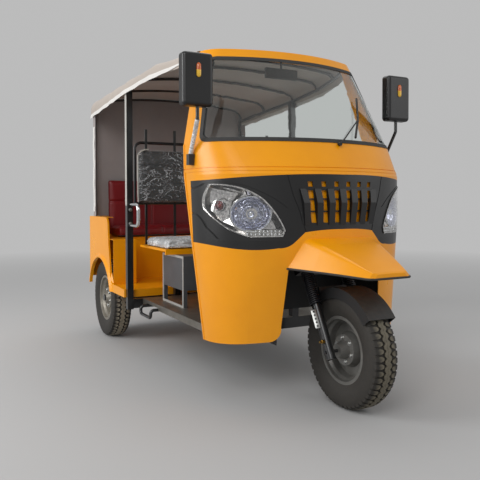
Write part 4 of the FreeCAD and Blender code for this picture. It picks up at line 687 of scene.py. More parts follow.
class RickshawSizes(bpy.types.PropertyGroup):
    """Sizes of what is dressed onto the frame."""
    lug_height: bpy.props.FloatProperty(
        name="Lug height", description="Depth of the tyre tread", default=0.009, unit="LENGTH")
    lug_count: bpy.props.IntProperty(
        name="Lugs", description="Shoulder lugs round one side of a tyre", default=52, min=20, max=90)
    roof_sag: bpy.props.FloatProperty(
        name="Roof sag", description="How far the roof cloth sinks between its bows", default=0.007,
        unit="LENGTH")
    cushion_crown: bpy.props.FloatProperty(
        name="Cushion crown", description="How far a cushion may swell", default=0.012, unit="LENGTH")
    spring_turns: bpy.props.IntProperty(
        name="Spring turns", description="Coils of a fork spring", default=17, min=4, max=40)


class RickshawStudio(bpy.types.PropertyGroup):
    """Light and backdrop."""
    floor_colour: bpy.props.FloatVectorProperty(
        name="Floor", description="Colour of the floor", default=(0.46, 0.46, 0.46), subtype="COLOR")
    wall_colour: bpy.props.FloatVectorProperty(
        name="Backdrop", description="Colour of the backdrop", default=(0.5, 0.5, 0.5), subtype="COLOR")
    key_power: bpy.props.FloatProperty(
        name="Key light", description="Power of the main lamp", default=135.0, unit="POWER")
    sky_strength: bpy.props.FloatProperty(
        name="Sky", description="Strength of the even light all round", default=0.45)


class RICKSHAW_OT_finishes(bpy.types.Operator):
    """Gives every piece of the frame its finish"""
    bl_idname = "rickshaw.finishes"
    bl_label = "Finishes"

    def execute(self, context):
        make_finishes()
        missing = set(NODES) - set(" ".join(WORN_BY.values()).split())
        if missing:
            raise RuntimeError(f"no finish for {sorted(missing)}")
        for finish_name, names in WORN_BY.items():
            for name in names.split():
                for holder in NODES[name].material_slots:
                    holder.link = "OBJECT"
                    holder.material = FINISHES[finish_name]
        return {"FINISHED"}


# Tyres

ROLLING_RADIUS = 0.285
CARCASS_TOP = 0.2762
# How deep a tread block's foot is sunk in the carcass
BLOCK_FOOT = 0.002
# The carcass from rim to crown: distance from the middle, height above the axle
TYRE_WALL = [(0.0465, 0.157), (0.0520, 0.166), (0.0585, 0.178), (0.0655, 0.197), (0.0688, 0.214),
             (0.0690, 0.232), (0.0672, 0.248), (0.0640, 0.261), (0.0585, 0.2695), (0.0480, 0.2730),
             (0.0300, 0.2752), (0.0120, 0.2760)]


def wall_at(across):
    """Height of the tyre's carcass under the tread, at a distance from its middle."""
    x = min(abs(across), 0.064)
    rows = [(0.0, CARCASS_TOP)] + TYRE_WALL[:6:-1]
    for low, high in zip(rows, rows[1:]):
        if x <= high[0]:
            return low[1] + (high[1] - low[1]) * (x - low[0]) / (high[0] - low[0])
    return rows[-1][1]


def tread_block(outline, top, slope):
    """A tread block: an outline (across, along) stood up from the carcass, its top a little smaller."""
    block = plate([(a, b, 0.0) for a, b in outline], (0, 0, 1))
    middle = (sum(a for a, b in outline) / len(outline), sum(b for a, b in outline) / len(outline))

    def stand(corner):
        across, along, level = corner
        if level > 0.5:
            across = middle[0] + (across - middle[0]) * (1 - slope)
            along = middle[1] + (along - middle[1]) * (1 - slope)
        radius = wall_at(across) + (top if level > 0.5 else -BLOCK_FOOT)
        angle = along / ROLLING_RADIUS
        return Vector((across, radius * math.sin(angle), radius * math.cos(angle)))
    reshape(block, stand)
    return block


def make_tyre(sizes):
    """One tyre about the X axis through the origin."""
    right = [(0.0, 0.162), (0.030, 0.160)] + TYRE_WALL + [(0.0, CARCASS_TOP)]
    left = [(-a, b) for a, b in reversed(right)][1:]
    carcass = turned([(a, 0.0, b) for a, b in right + left], 104)
    pitch = math.tau * ROLLING_RADIUS / sizes.lug_count
    half = pitch / 2
    lug = [(0.0645, -0.36 * pitch), (0.0645, 0.36 * pitch), (0.040, 0.39 * pitch), (0.0300, 0.30 * pitch),
           (0.0235, 0.14 * pitch), (0.0235, -0.14 * pitch), (0.0300, -0.30 * pitch), (0.040, -0.39 * pitch)]
    rib = [(0.0185, -half), (0.0185, -half * 0.62), (0.0095, -half * 0.1), (0.0095, half * 0.1),
           (0.0185, half * 0.62), (0.0185, half), (0.0012, half), (0.0012, half * 0.55), (-0.0012, 0.0),
           (0.0012, -half * 0.55), (0.0012, -half)]

    def outer_top(edge):
        ends = [corner.co for corner in edge.verts]
        high = all(math.hypot(end.y, end.z) > 0.2735 and abs(end.x) > 0.05 for end in ends)
        return high and abs(ends[0].y - ends[1].y) > 0.01
    lugs, ribs = [], []
    for side in (1, -1):
        block = tread_block([(side * a, b) for a, b in lug[::side]], sizes.lug_height, 0.10)
        edit(block)
        choose(block, outer_top, "EDGE")
        bpy.ops.mesh.bevel(offset=0.006, segments=2)
        leave()
        lugs.append(block)
        ribs.append(tread_block([(side * a, b) for a, b in rib[::side]], sizes.lug_height, 0.0))
    # The left half of the pattern stands half a pitch on
    for block in (lugs[1], ribs[1]):
        block.data.transform(Matrix.Rotation(math.pi / sizes.lug_count, 4, "X"))
    pattern = joined(*lugs, *ribs)
    edit(pattern)
    bpy.ops.mesh.normals_make_consistent(inside=False)
    bpy.ops.mesh.spin(steps=sizes.lug_count, dupli=True, angle=math.tau, center=(0, 0, 0), axis=(1, 0, 0))
    leave()
    return joined(pattern, carcass)


class RICKSHAW_OT_tyres(bpy.types.Operator):
    """Models the tread and walls of the three tyres"""
    bl_idname = "rickshaw.tyres"
    bl_label = "Tyres"

    def execute(self, context):
        tyre = make_tyre(context.scene.rickshaw_sizes)
        for name, body, finish_name, place in (
                ("rear_left_tyre", "rear_left_wheel", "rear_tyre_rubber", (TRACK_HALF, REAR_Y, AXLE_Z)),
                ("rear_right_tyre", "rear_right_wheel", "rear_tyre_rubber", (-TRACK_HALF, REAR_Y, AXLE_Z)),
                ("front_tyre", "front_wheel", "front_tyre_rubber", (0.0, FRONT_Y, AXLE_Z))):
            twin = copied(tyre, Matrix.Translation(place))
            settle(twin, f"{name}_tread", body, "tyre_rubber", finish_name, smooth=30)
            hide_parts(name)
        bpy.data.objects.remove(tyre)
        return {"FINISHED"}


# Nuts of one disc, the radius they stand on, their size, and how far out the search for the disc starts
NUTS = 6
NUT_CIRCLE = 0.058
NUT_RADIUS = 0.0095
SEARCH = 0.3


class RICKSHAW_OT_wheel_nuts(bpy.types.Operator):
    """Bolts each wheel's disc to its hub"""
    bl_idname = "rickshaw.wheel_nuts"
    bl_label = "Wheel nuts"

    def execute(self, context):
        for name, body, x, y, sides in (("front_rim", "front_wheel", 0.0, FRONT_Y, (-1, 1)),
                                        ("rear_left_rim", "rear_left_wheel", TRACK_HALF, REAR_Y, (1,)),
                                        ("rear_right_rim", "rear_right_wheel", -TRACK_HALF, REAR_Y, (-1,))):
            back = NODES[name].matrix_world.inverted()
            nuts = []
            for side in sides:
                way = back.to_3x3() @ Vector((-side, 0, 0))
                for number in range(NUTS):
                    turn = math.tau * number / NUTS + 0.3
                    start = Vector((x + side * SEARCH, y + NUT_CIRCLE * math.cos(turn),
                                    AXLE_Z + NUT_CIRCLE * math.sin(turn)))
                    hit, spot, _, _ = NODES[name].ray_cast(back @ start, way)
                    if not hit:
                        raise RuntimeError(f"{name}: no disc to bolt")
                    nuts.append(hex_bolt(NODES[name].matrix_world @ spot, (side, 0, 0), NUT_RADIUS))
            settle(joined(*nuts), f"{name}_nuts", body, "chrome", "zinc_plate", smooth=30)
        return {"FINISHED"}


# Where the roof's tube bows stand along the vehicle
BOWS = [-0.395, -0.255, 0.045, 0.433, 0.728, 1.022, 1.317]


def pucker(place):
    """How the cloth's edge runs in and out along the vehicle, from -1 to 1."""
    return math.sin(place * 34 + 1.7 * math.sin(place * 9))


class RICKSHAW_OT_roof(bpy.types.Operator):
    """Stretches the cloth roof over its bows, with a hem strip hung along each side"""
    bl_idname = "rickshaw.roof"
    bl_label = "Roof"

    def execute(self, context):
        sag = context.scene.rickshaw_sizes.roof_sag
        rows = []
        steps = 120
        low, high = BOWS[0], BOWS[-1]
        for step in range(steps + 1):
            place = low + (high - low) * step / steps
            row = arch_at(place)
            near = [b for b in BOWS if b <= place + 1e-9][-1]
            after = [b for b in BOWS if b > near][:1] or [near]
            share = 0.0 if after[0] == near else (place - near) / (after[0] - near)
            dip = sag * math.sin(math.pi * share) ** 1.3
            line = []
            for x, z in arch_line(row):
                ramp = max(0.0, min(1.0, (row[2] - z) / (row[2] - row[5])))
                crown = 1.0 - ramp
                wave = 0.0018 * noise.noise(Vector((x * 5, place * 4, z * 5)))
                pull = 0.0022 * pucker(place) * ramp
                side = 1 if x > 0 else -1
                line.append((x - side * (0.25 * dip + 0.001) * ramp + side * pull * 0.8,
                             place, z - dip * crown - 0.0004 + wave * crown))
            rows.append(line)
        cloth = sheet_of(rows, "Roof")
        tidy_mesh(cloth)
        use(cloth, "SOLIDIFY", thickness=0.0022, offset=-1.0, material_offset=1, material_offset_rim=0)
        settle(cloth, "canopy_sheet", "chassis", "canopy_cloth", "grey_canopy_cloth", "brown_lining_cloth",
               smooth=60)
        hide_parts("canopy")
        # White strip sewn along each hem, drooping a little behind the windscreen
        for side, name in ((-1, "canopy_hem_right"), (1, "canopy_hem_left")):
            rows = []
            front, long, lap, steps = -0.386, 1.699, 0.005, 90
            for step in range(steps + 1):
                place = front + long * step / steps
                row = arch_at(place)
                drop = 0.024 * min(1.0, (place - front) / 0.35) + 0.0015 * math.sin(place * 31)
                out = row[1] + 0.0012 + 0.0016 * pucker(place)
                rows.append([(side * (out + 0.0010 * level), place, row[5] + lap - (lap + drop) * level / 4)
                             for level in range(5)])
            strip = cloth_of(rows, name, "canopy_cloth", "white_hem_cloth", 0.0014)
        return {"FINISHED"}


# Seats

def blown_up(piece, voxel, cap, keep_above=None):
    """A sewn cover filled tight: simulated as cloth under pressure, no corner moving more than cap."""
    use(piece, "REMESH", mode="VOXEL", voxel_size=voxel)
    start = [corner.co.copy() for corner in piece.data.vertices]
    pick(piece)
    cover = piece.modifiers.new("Cover", "CLOTH")
    cover.settings.quality = 4
    cover.settings.mass = 0.35
    cover.settings.tension_stiffness = 18
    cover.settings.compression_stiffness = 18
    cover.settings.bending_stiffness = 2.0
    cover.settings.use_pressure = True
    cover.settings.uniform_pressure_force = 4.0
    cover.settings.effector_weights.gravity = 0
    cover.collision_settings.use_self_collision = False
    scene = bpy.context.scene
    for number in range(1, 21):
        scene.frame_set(number)
    bpy.ops.object.modifier_apply(modifier=cover.name)
    scene.frame_set(1)
    for corner, before in zip(piece.data.vertices, start):
        way = corner.co - before
        if way.length > cap:
            corner.co = before + way * (cap / way.length)
    if keep_above is not None:
        reshape(piece, lambda spot: Vector((spot.x, spot.y, max(spot.z, keep_above))))
    use(piece, "SMOOTH", factor=0.5, iterations=4)
    use(piece, "SUBSURF", levels=1, render_levels=1)


def foam_block(box, into_low, into_high, round_edge):
    """A block with its edges rounded, drawn in from each side of a box, before its cover is blown up."""
    deselect()
    low = [side + gap for side, gap in zip(box[0], into_low)]
    high = [side - gap for side, gap in zip(box[1], into_high)]
    centre = [(a + b) / 2 for a, b in zip(low, high)]
    bpy.ops.mesh.primitive_cube_add(size=1, location=centre, scale=[b - a for a, b in zip(low, high)])
    block = bpy.context.object
    bpy.ops.object.transform_apply(location=True, rotation=True, scale=True)
    edit(block, "EDGE")
    bpy.ops.mesh.bevel(offset=round_edge, segments=3)
    leave()
    return block


def sewn_lines(piece, axis, levels, width, depth, where):
    """Pulls the cover in along seams at these levels of an axis (0, 1 or 2), for corners that pass where."""
    for level in levels:
        piece.data.update()
        normals = [corner.normal.copy() for corner in piece.data.vertices]
        for corner, normal in zip(piece.data.vertices, normals):
            share = abs(corner.co[axis] - level) / width
            if share < 1 and where(corner.co):
                corner.co -= normal * depth * (1 - share) ** 2 * (1 + 2 * share)
    piece.data.update()


def wrapping(source, name, keep_face, seed, finish_name):
    """Clear film pulled over a cushion: its own thin sheet, creased and lifted off in folds."""
    lift, drift_height, ridge_height = 0.002, 0.0022, 0.0045
    film = copied(source)
    for key in [key for key in film.keys() if key.startswith("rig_")]:
        del film[key]
    film.parent = None
    film.matrix_world = Matrix()
    cut_away(film, lambda face: not keep_face(face.calc_center_median(), face.normal))
    film.data.update()
    normals = [corner.normal.copy() for corner in film.data.vertices]
    for corner, normal in zip(film.data.vertices, normals):
        spot = corner.co
        drift = noise.noise(Vector((spot.x * 9 + seed, spot.y * 22, spot.z * 20)))
        ridge = 1 - abs(noise.noise(Vector((spot.x * 38, spot.y * 60 + seed, spot.z * 46))))
        corner.co = spot + normal * (lift + drift_height * drift + ridge_height * ridge ** 5)
    film.data.update()
    settle(film, name, "chassis", "windscreen", finish_name, smooth=40)
    return film


class RICKSHAW_OT_driver_seat(bpy.types.Operator):
    """Models the driver's cushion and backrest with the clear film they are wrapped in"""
    bl_idname = "rickshaw.driver_seat"
    bl_label = "Driver's seat"

    def execute(self, context):
        crown = context.scene.rickshaw_sizes.cushion_crown
        low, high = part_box("driver_cushion")
        cushion = foam_block((low, high), (0.006, 0.006, 0.0), (0.006, 0.006, 0.008), 0.014)
        blown_up(cushion, 0.007, crown * 0.6, low[2])
        middle = (low[2] + high[2]) / 2
        sewn_lines(cushion, 2, [middle], 0.012, 0.004, lambda spot: spot.y < low[1] + 0.03)
        sewn_lines(cushion, 0, [0.17, -0.17], 0.014, 0.004, lambda spot: spot.z > middle)
        settle(cushion, "driver_cushion_cover", "chassis", "black_leather", "black_pebbled_vinyl", smooth=60)
        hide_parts("driver_cushion")
        wrapping(cushion, "driver_cushion_film", lambda spot, normal: spot.z > low[2] + 0.008, 3.0,
                 "crumpled_wrapping_film")

        low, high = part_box("driver_backrest")
        rest = foam_block((low, high), (0.012, 0.010, 0.010), (0.012, 0.006, 0.010), 0.018)
        reshape(rest, lambda spot: Vector((spot.x, min(spot.y, high[1]), spot.z)))
        blown_up(rest, 0.008, crown * 0.7)
        # Its top corners are cut at a slant
        reshape(rest, lambda spot: Vector((spot.x, min(spot.y, high[1]),
                                           min(spot.z, high[2] - 0.010 - max(0.0, abs(spot.x) - 0.518)))))
        sewn_lines(rest, 2, [low[2] + (high[2] - low[2]) * share for share in (0.36, 0.68)], 0.014, 0.005,
                   lambda spot: spot.y < (low[1] + high[1]) / 2)
        settle(rest, "driver_backrest_cover", "chassis", "black_leather", "black_pebbled_vinyl", smooth=60)
        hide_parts("driver_backrest")
        cord = tube([(0.553, 0.491, 1.005), (0.556, 0.489, 1.05), (0.557, 0.487, 1.18), (0.557, 0.488, 1.31),
                     (0.555, 0.489, 1.323), (0.520, 0.489, 1.359), (0.480, 0.489, 1.361)], 0.0042, 8)
        on_both(cord, "driver_backrest_piping", "black_leather", "pale_piping_vinyl", smooth=60)
        wrapping(rest, "driver_backrest_film", lambda spot, normal: normal.y < 0.35, 11.0,
                 "clear_wrapping_film")
        return {"FINISHED"}


class RICKSHAW_OT_rear_seat(bpy.types.Operator):
    """Models the passengers' bench and its backrest"""
    bl_idname = "rickshaw.rear_seat"
    bl_label = "Passenger seat"

    def execute(self, context):
        crown = context.scene.rickshaw_sizes.cushion_crown
        panels = (-0.187, 0.187)
        low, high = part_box("rear_cushion")
        cushion = foam_block((low, high), (0.008, 0.008, 0.0), (0.008, 0.002, 0.012), 0.020)
        blown_up(cushion, 0.008, crown, low[2])
        reshape(cushion, lambda spot: Vector((spot.x, min(spot.y, high[1]), spot.z)))
        sewn_lines(cushion, 0, panels, 0.016, 0.006, lambda spot: spot.z > low[2] + 0.03)
        settle(cushion, "rear_cushion_cover", "chassis", "red_leather", "maroon_pebbled_vinyl", smooth=60)
        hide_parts("rear_cushion")
        edge_z = low[2] + 0.012
        cord = tube([(low[0] + 0.01, low[1] + 0.005, edge_z), (0, low[1] + 0.003, edge_z),
                     (high[0] - 0.01, low[1] + 0.005, edge_z)], 0.005, 8)
        settle(cord, "rear_cushion_piping", "chassis", "black_leather", "black_pebbled_vinyl", smooth=60)

        low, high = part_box("rear_backrest")
        rest = foam_block((low, high), (0.008, 0.014, 0.004), (0.008, 0.014, 0.008), 0.018)
        blown_up(rest, 0.008, crown * 0.7)
        reshape(rest, lambda spot: Vector((spot.x, min(spot.y, high[1] - 0.010), max(spot.z, low[2]))))
        seam = low[2] + 0.27
        sewn_lines(rest, 2, [seam], 0.018, 0.008, lambda spot: spot.y < high[1] - 0.02)
        sewn_lines(rest, 0, panels, 0.014, 0.005, lambda spot: spot.y < high[1] - 0.02 and spot.z < seam)
        settle(rest, "rear_backrest_cover", "chassis", "red_leather", "maroon_pebbled_vinyl", smooth=60)
        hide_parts("rear_backrest")
        return {"FINISHED"}


# Front of the vehicle

LAMP_CENTRE = Vector((-0.450, -0.898, 0.950))
LAMP_WAY = Vector((-0.50, -0.865, 0.03)).normalized()
# Corners of the bright shield's facets, outward of the reflector: each one's spot on the lens's surface,
# and how deep it lies under that
SHIELD = {
    "top": ((-0.594, -0.712, 1.082), 0.010), "left": ((-0.604, -0.660, 0.972), 0.010),
    "low": ((-0.553, -0.800, 0.912), 0.010), "crest": ((-0.576, -0.764, 1.020), 0.030),
    "fold": ((-0.583, -0.744, 0.962), 0.016), "brow": ((-0.500, -0.862, 1.050), 0.010),
    "ring_high": ((-0.527, -0.832, 1.010), 0.034), "ring_low": ((-0.533, -0.826, 0.930), 0.024),
    "foot": ((-0.500, -0.862, 0.880), 0.012),
}
SHIELD_FACETS = [("top", "crest", "left"), ("left", "crest", "fold"), ("left", "fold", "low"),
                 ("top", "brow", "crest"), ("crest", "brow", "ring_high"), ("crest", "ring_high", "fold"),
                 ("fold", "ring_high", "ring_low"), ("fold", "ring_low", "low"), ("low", "ring_low", "foot")]
# The lamp band's lower edge, where the running lights sit, and the small lenses in one of their rows
LENSES = 9
RUNNING_ROW = [(-0.472, -0.885), (-0.434, -0.909), (-0.396, -0.931), (-0.357, -0.950), (-0.318, -0.967)]


def aim(piece, spot, way):
    """Turns a piece made along +Z to look along way, and puts it at a spot."""
    piece.data.transform(Matrix.Translation(spot) @ way.to_track_quat("Z", "Y").to_matrix().to_4x4())
    piece.data.update()


def on_both(piece, name, slot, finish_name, smooth=35):
    """A piece and its mirror image on the other side, as one piece seated on the chassis."""
    other = copied(piece, Matrix.Scale(-1, 4, (1, 0, 0)), True)
    settle(joined(other, piece), name, "chassis", slot, finish_name, smooth=smooth)


def lamp_pair(piece, spot, way, name, slot, finish_name, smooth=35):
    """A piece made along +Z, put at a spot to look along way, on both sides."""
    aim(piece, spot, way)
    on_both(piece, name, slot, finish_name, smooth)


class RICKSHAW_OT_lamps(bpy.types.Operator):
    """Fits the reflectors, indicators and running lights inside the headlamps"""
    bl_idname = "rickshaw.lamps"
    bl_label = "Headlamps"

    def execute(self, context):
        # Main reflector: a stepped oval bowl in facets, with a bright ring and a bulb cap
        seat = LAMP_CENTRE - LAMP_WAY * 0.018
        oval = Matrix.Diagonal((1.0, 0.86, 1.0, 1.0))
        bowl = lathe([(0.016, -0.050), (0.030, -0.047), (0.048, -0.040), (0.066, -0.029), (0.082, -0.015),
                      (0.093, 0.000), (0.097, 0.002), (0.099, -0.004)], 22)
        inset(bowl, lambda face: 0.03 < face.calc_center_median().xy.length < 0.088, 0.0009, 0.0012,
              use_individual=True)
        bowl.data.transform(oval)
        lamp_pair(bowl, seat, LAMP_WAY, "headlamp_reflectors", "lamp_bowl", "aluminised_reflector", smooth=8)
        ring = lathe([(0.095, 0.001), (0.097, 0.006), (0.1015, 0.006), (0.1045, 0.001), (0.1015, -0.004),
                      (0.097, -0.004), (0.095, 0.001)], 72)
        ring.data.transform(oval)
        lamp_pair(ring, seat, LAMP_WAY, "headlamp_rings", "chrome", "bright_chrome_plate")
        cap = lathe([(0.0, 0.000), (0.010, -0.002), (0.017, -0.010), (0.018, -0.024), (0.014, -0.050)], 28)
        lamp_pair(cap, seat, LAMP_WAY, "headlamp_bulb_caps", "chrome", "bright_chrome_plate")
        # Bright shield outward of the reflector, folded in flat facets
        facets = []
        inward = Vector((0.66, 0.75, 0.0))
        for names in SHIELD_FACETS:
            corners = [Vector(spot) + inward * depth for spot, depth in (SHIELD[name] for name in names)]
            facets.append(plate(corners, inward * 0.0015))
        on_both(joined(*facets), "headlamp_shields", "lamp_bowl", "bright_lamp_plating", smooth=0)
        # Indicator: a red bulb in a small bright cup over the shield's fold
        way = Vector((-0.68, -0.73, 0.05)).normalized()
        spot = Vector((-0.560, -0.776, 0.990)) - way * 0.006
        cup = lathe([(0.008, -0.010), (0.018, -0.006), (0.025, 0.003), (0.027, 0.002), (0.026, -0.004)], 24)
        lamp_pair(cup, spot, way, "indicator_cups", "lamp_bowl", "bright_chrome_plate")
        bulb = lathe([(0.0, 0.006), (0.007, 0.004), (0.012, -0.001), (0.013, -0.008), (0.0, -0.010)], 24)
        lamp_pair(bulb, spot, way, "indicator_bulbs", "red_lens", "red_polycarbonate")
        # Running lights: a pale bar along the lower edge with two rows of small lenses
        inward = Vector((0.48, 0.877, 0.0))
        bar = trace([(x + inward.x * 0.014, y + inward.y * 0.014, 0.843) for x, y in RUNNING_ROW])
        edit(bar, "EDGE")
        bpy.ops.mesh.extrude_region_move(TRANSFORM_OT_translate={"value": (0, 0, 0.030)})
        leave()
        use(bar, "SOLIDIFY", thickness=0.003)
        tidy_mesh(bar)
        on_both(bar, "running_light_bars", "lamp_bowl", "light_grey_paint", smooth=30)
        cells = []
        for row, height in enumerate((0.851, 0.865)):
            for number in range(LENSES):
                share = (number + 0.5) / LENSES * 4
                base = min(3, int(share))
                ends = [Vector((*spot, height)) for spot in RUNNING_ROW[base:base + 2]]
                middle = ends[0].lerp(ends[1], share - base) + inward * 0.0135
                cell = lathe([(0.0, 0.0035), (0.0032, 0.0030), (0.0056, 0.0012), (0.0060, -0.0005)], 12)
                aim(cell, middle, -inward)
                cells.append(cell)
        on_both(joined(*cells), "running_lights", "lamp_bowl", "bright_chrome_plate", smooth=50)
        return {"FINISHED"}


def hex_bolt(spot, way, radius):
    """A hexagon head on its washer, seated at a spot and facing way."""
    head = lathe([(a * radius, b * radius) for a, b in ((0, 0.9), (0.8, 0.9), (1, 0.72), (1, 0))], 6)
    washer = lathe([(a * radius, b * radius) for a, b in ((0, 0.2), (1.3, 0.2), (1.4, 0.1), (1.4, -0.3))], 20)
    bolt = joined(head, washer)
    aim(bolt, Vector(spot), Vector(way))
    return bolt


class RICKSHAW_OT_wheel_well(bpy.types.Operator):
    """Lifts the roof of the wheel well clear of the turned fork"""
    bl_idname = "rickshaw.wheel_well"
    bl_label = "Wheel well"

    def execute(self, context):
        well = from_node("wheel_well")
        roof_from, lift = 0.79, 0.006
        reshape(well, lambda spot: spot + Vector((0, 0, lift if spot.z > roof_from else 0.0)))
        settle(well, "wheel_well_shell", "chassis", "black_plastic", "matt_black_polypropylene", smooth=30)
        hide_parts("wheel_well")
        return {"FINISHED"}


class RICKSHAW_OT_trim(bpy.types.Operator):
    """Fits the beak's rubber edging, the strips and bolts of the door pillars and the seat box's edging"""
    bl_idname = "rickshaw.trim"
    bl_label = "Edging, strips and bolts"

    def execute(self, context):
        # Rubber channel pushed over the beak's lower edge
        right = [(-0.286, -0.966, 0.6835), (-0.233, -1.1055, 0.6795), (-0.172, -1.256, 0.6735),
                 (-0.137, -1.342, 0.6685), (-0.119, -1.376, 0.6665), (-0.098, -1.3845, 0.6665)]
        edge = tube(right + [(-x, y, z) for x, y, z in right[::-1]], 0.0055, 12)
        settle(edge, "beak_edging", "chassis", "rubber", "extruded_black_rubber", smooth=60)
        # Pale strip down the outer face of each pillar, its ends cut round
        face_x, middle_y, top, foot, half = 0.655, 0.433, 1.710, 0.997, 0.017
        ends = [(half * math.cos(math.pi * n / 8), half * math.sin(math.pi * n / 8)) for n in range(9)]
        strip = plate([(face_x, middle_y + a, top + b) for a, b in ends]
                      + [(face_x, middle_y - a, foot - b) for a, b in ends], (0.0015, 0, 0))
        on_both(strip, "pillar_strips", "rim_silver", "light_grey_paint", smooth=30)
        bolts = [hex_bolt((0.633, 0.413, z), (0, -1, 0), 0.0085) for z in (0.954, 0.863)]
        on_both(joined(*bolts), "handle_bolts", "chrome", "zinc_plate")
        # Folded edging round the seat box's ends
        low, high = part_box("seat_box")
        near, far, foot, top, wide = low[1], high[1], low[2], high[2], 0.014
        inner = [(near + wide, foot + wide), (far - wide, foot + wide), (far - wide, top - wide),
                 (near + wide, top - wide)]
        outer = [(near, foot), (far, foot), (far, top), (near, top)]
        bars = []
        for number in range(4):
            after = (number + 1) % 4
            corners = [outer[number], outer[after], inner[after], inner[number]]
            bars.append(plate([(high[0], y, z) for y, z in corners], (0.002, 0, 0)))
        on_both(joined(*bars), "seat_box_edging", "grey_mesh", "pale_grey_enamel", smooth=20)
        return {"FINISHED"}


class RICKSHAW_OT_fork(bpy.types.Operator):
    """Winds the fork's coil springs and fits its plate and its brass union"""
    bl_idname = "rickshaw.fork"
    bl_label = "Fork"

    def execute(self, context):
        rake = math.radians(28)
        lean = Matrix.Translation((0, FRONT_Y, AXLE_Z)) @ Matrix.Rotation(-rake, 4, "X")
        turns = context.scene.rickshaw_sizes.spring_turns
        foot, head, wire, coil_radius = 0.2365, 0.4185, 0.0042, 0.0285
        pitch = (head - foot - 0.008) / turns
        springs = []
        for across in (-0.120, 0.120):
            deselect()
            bpy.ops.mesh.primitive_circle_add(vertices=8, radius=wire, location=(coil_radius, 0, 0),
                                              rotation=(math.pi / 2, 0, 0), fill_type="NOTHING")
            coil = bpy.context.object
            bpy.ops.object.transform_apply(location=True, rotation=True, scale=True)
            use(coil, "SCREW", steps=20, render_steps=20, iterations=turns, screw_offset=pitch, axis="Z")
            tidy_mesh(coil)
            coil.data.transform(Matrix.Translation((across, 0, foot + 0.004)))
            springs.append(coil)
        coils = joined(*springs)
        coils.data.transform(lean)
        settle(coils, "fork_coils", "steering", "spring_steel", "black_spring_enamel", smooth=50)
        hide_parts("fork_springs")
        # Perforated silver plate on the right leg, and the brass union below it
        strip = plate([(-0.011, 0.0, 0.118), (0.011, 0.0, 0.118), (0.013, 0.0, 0.122), (0.013, 0.0, 0.208),
                       (0.011, 0.0, 0.212), (-0.011, 0.0, 0.212), (-0.013, 0.0, 0.208), (-0.013, 0.0, 0.122)],
                      (0, 0.0025, 0))
        inset(strip, lambda face: abs(face.normal.y) > 0.9, 0.0015, 0.0006)
        outward = Matrix.Rotation(-0.5, 4, "Z")
        strip.data.transform(Matrix.Translation((-0.1520, -0.0085, 0.0)) @ outward)
        holes = []
        for number in range(5):
            hole = lathe([(0.0, 0.0), (0.0036, 0.0004), (0.0050, 0.0004), (0.0050, -0.001)], 14)
            hole.data.transform(Matrix.Translation((-0.1525, -0.0100, 0.130 + 0.018 * number))
                                @ outward @ Matrix.Rotation(math.pi / 2, 4, "X"))
            holes.append(hole)
        strip.data.transform(lean)
        settle(strip, "fork_plate", "steering", "rim_silver", "zinc_plate", smooth=30)
        marks = joined(*holes)
        marks.data.transform(lean)
        settle(marks, "fork_plate_holes", "steering", "rubber", "extruded_black_rubber")
        deselect()
        bpy.ops.mesh.primitive_cylinder_add(vertices=6, radius=0.0095, depth=0.016)
        union = bpy.context.object
        inset(union, lambda face: abs(face.normal.z) > 0.9, 0.0015, 0.0012)
        stub = lathe([(0.0, 0.020), (0.0048, 0.020), (0.0052, 0.008)], 16)
        union = joined(stub, union)
        union.data.transform(lean @ Matrix.Translation((-0.1475, -0.010, 0.050))
                             @ Matrix.Rotation(-math.pi / 2, 4, "Y"))
        settle(union, "brake_union", "steering", "chrome", "brass_fitting", smooth=30)
        return {"FINISHED"}


class RICKSHAW_OT_mirrors(bpy.types.Operator):
    """Adds the capsule reflectors to the mirrors' backs and the film left on one arm"""
    bl_idname = "rickshaw.mirrors"
    bl_label = "Mirrors"

    def execute(self, context):
        capsules = []
        middle = 1.655
        for across in (-0.643, 0.643):
            deselect()
            bpy.ops.mesh.primitive_uv_sphere_add(segments=28, ring_count=14, radius=0.016)
            capsule = bpy.context.object
            reshape(capsule, lambda spot: Vector((spot.x * 0.78, spot.y * 0.55,
                                                  spot.z + math.copysign(0.020, spot.z)
                                                  if abs(spot.z) > 1e-4 else 0.0)))
            capsule.data.transform(Matrix.Translation((across, -0.7262, middle)))
            capsules.append(capsule)
        pair = settle(joined(*capsules), "mirror_reflectors", "chassis", "red_lens", "amber_polycarbonate",
                      "yellow_polycarbonate", smooth=60)
        for face in pair.data.polygons:
            face.material_index = 1 if face.center.z < middle else 0
        # Wrapping film left round the right arm
        top, foot = Vector((-0.639, -0.6975, 1.419)), Vector((-0.633, -0.596, 1.252))
        way = (foot - top).normalized()
        sleeve = tube([top.lerp(foot, number / 26) for number in range(27)], 0.0122, 16, smooth=False)
        cut_away(sleeve, lambda face: abs(face.normal.dot(way)) > 0.9)
        reshape(sleeve, lambda spot: spot + Vector((0.0022, 0.0016, 0.0)) * noise.noise(spot * 70))
        settle(sleeve, "mirror_arm_film", "chassis", "windscreen", "crumpled_wrapping_film", smooth=40)
        return {"FINISHED"}


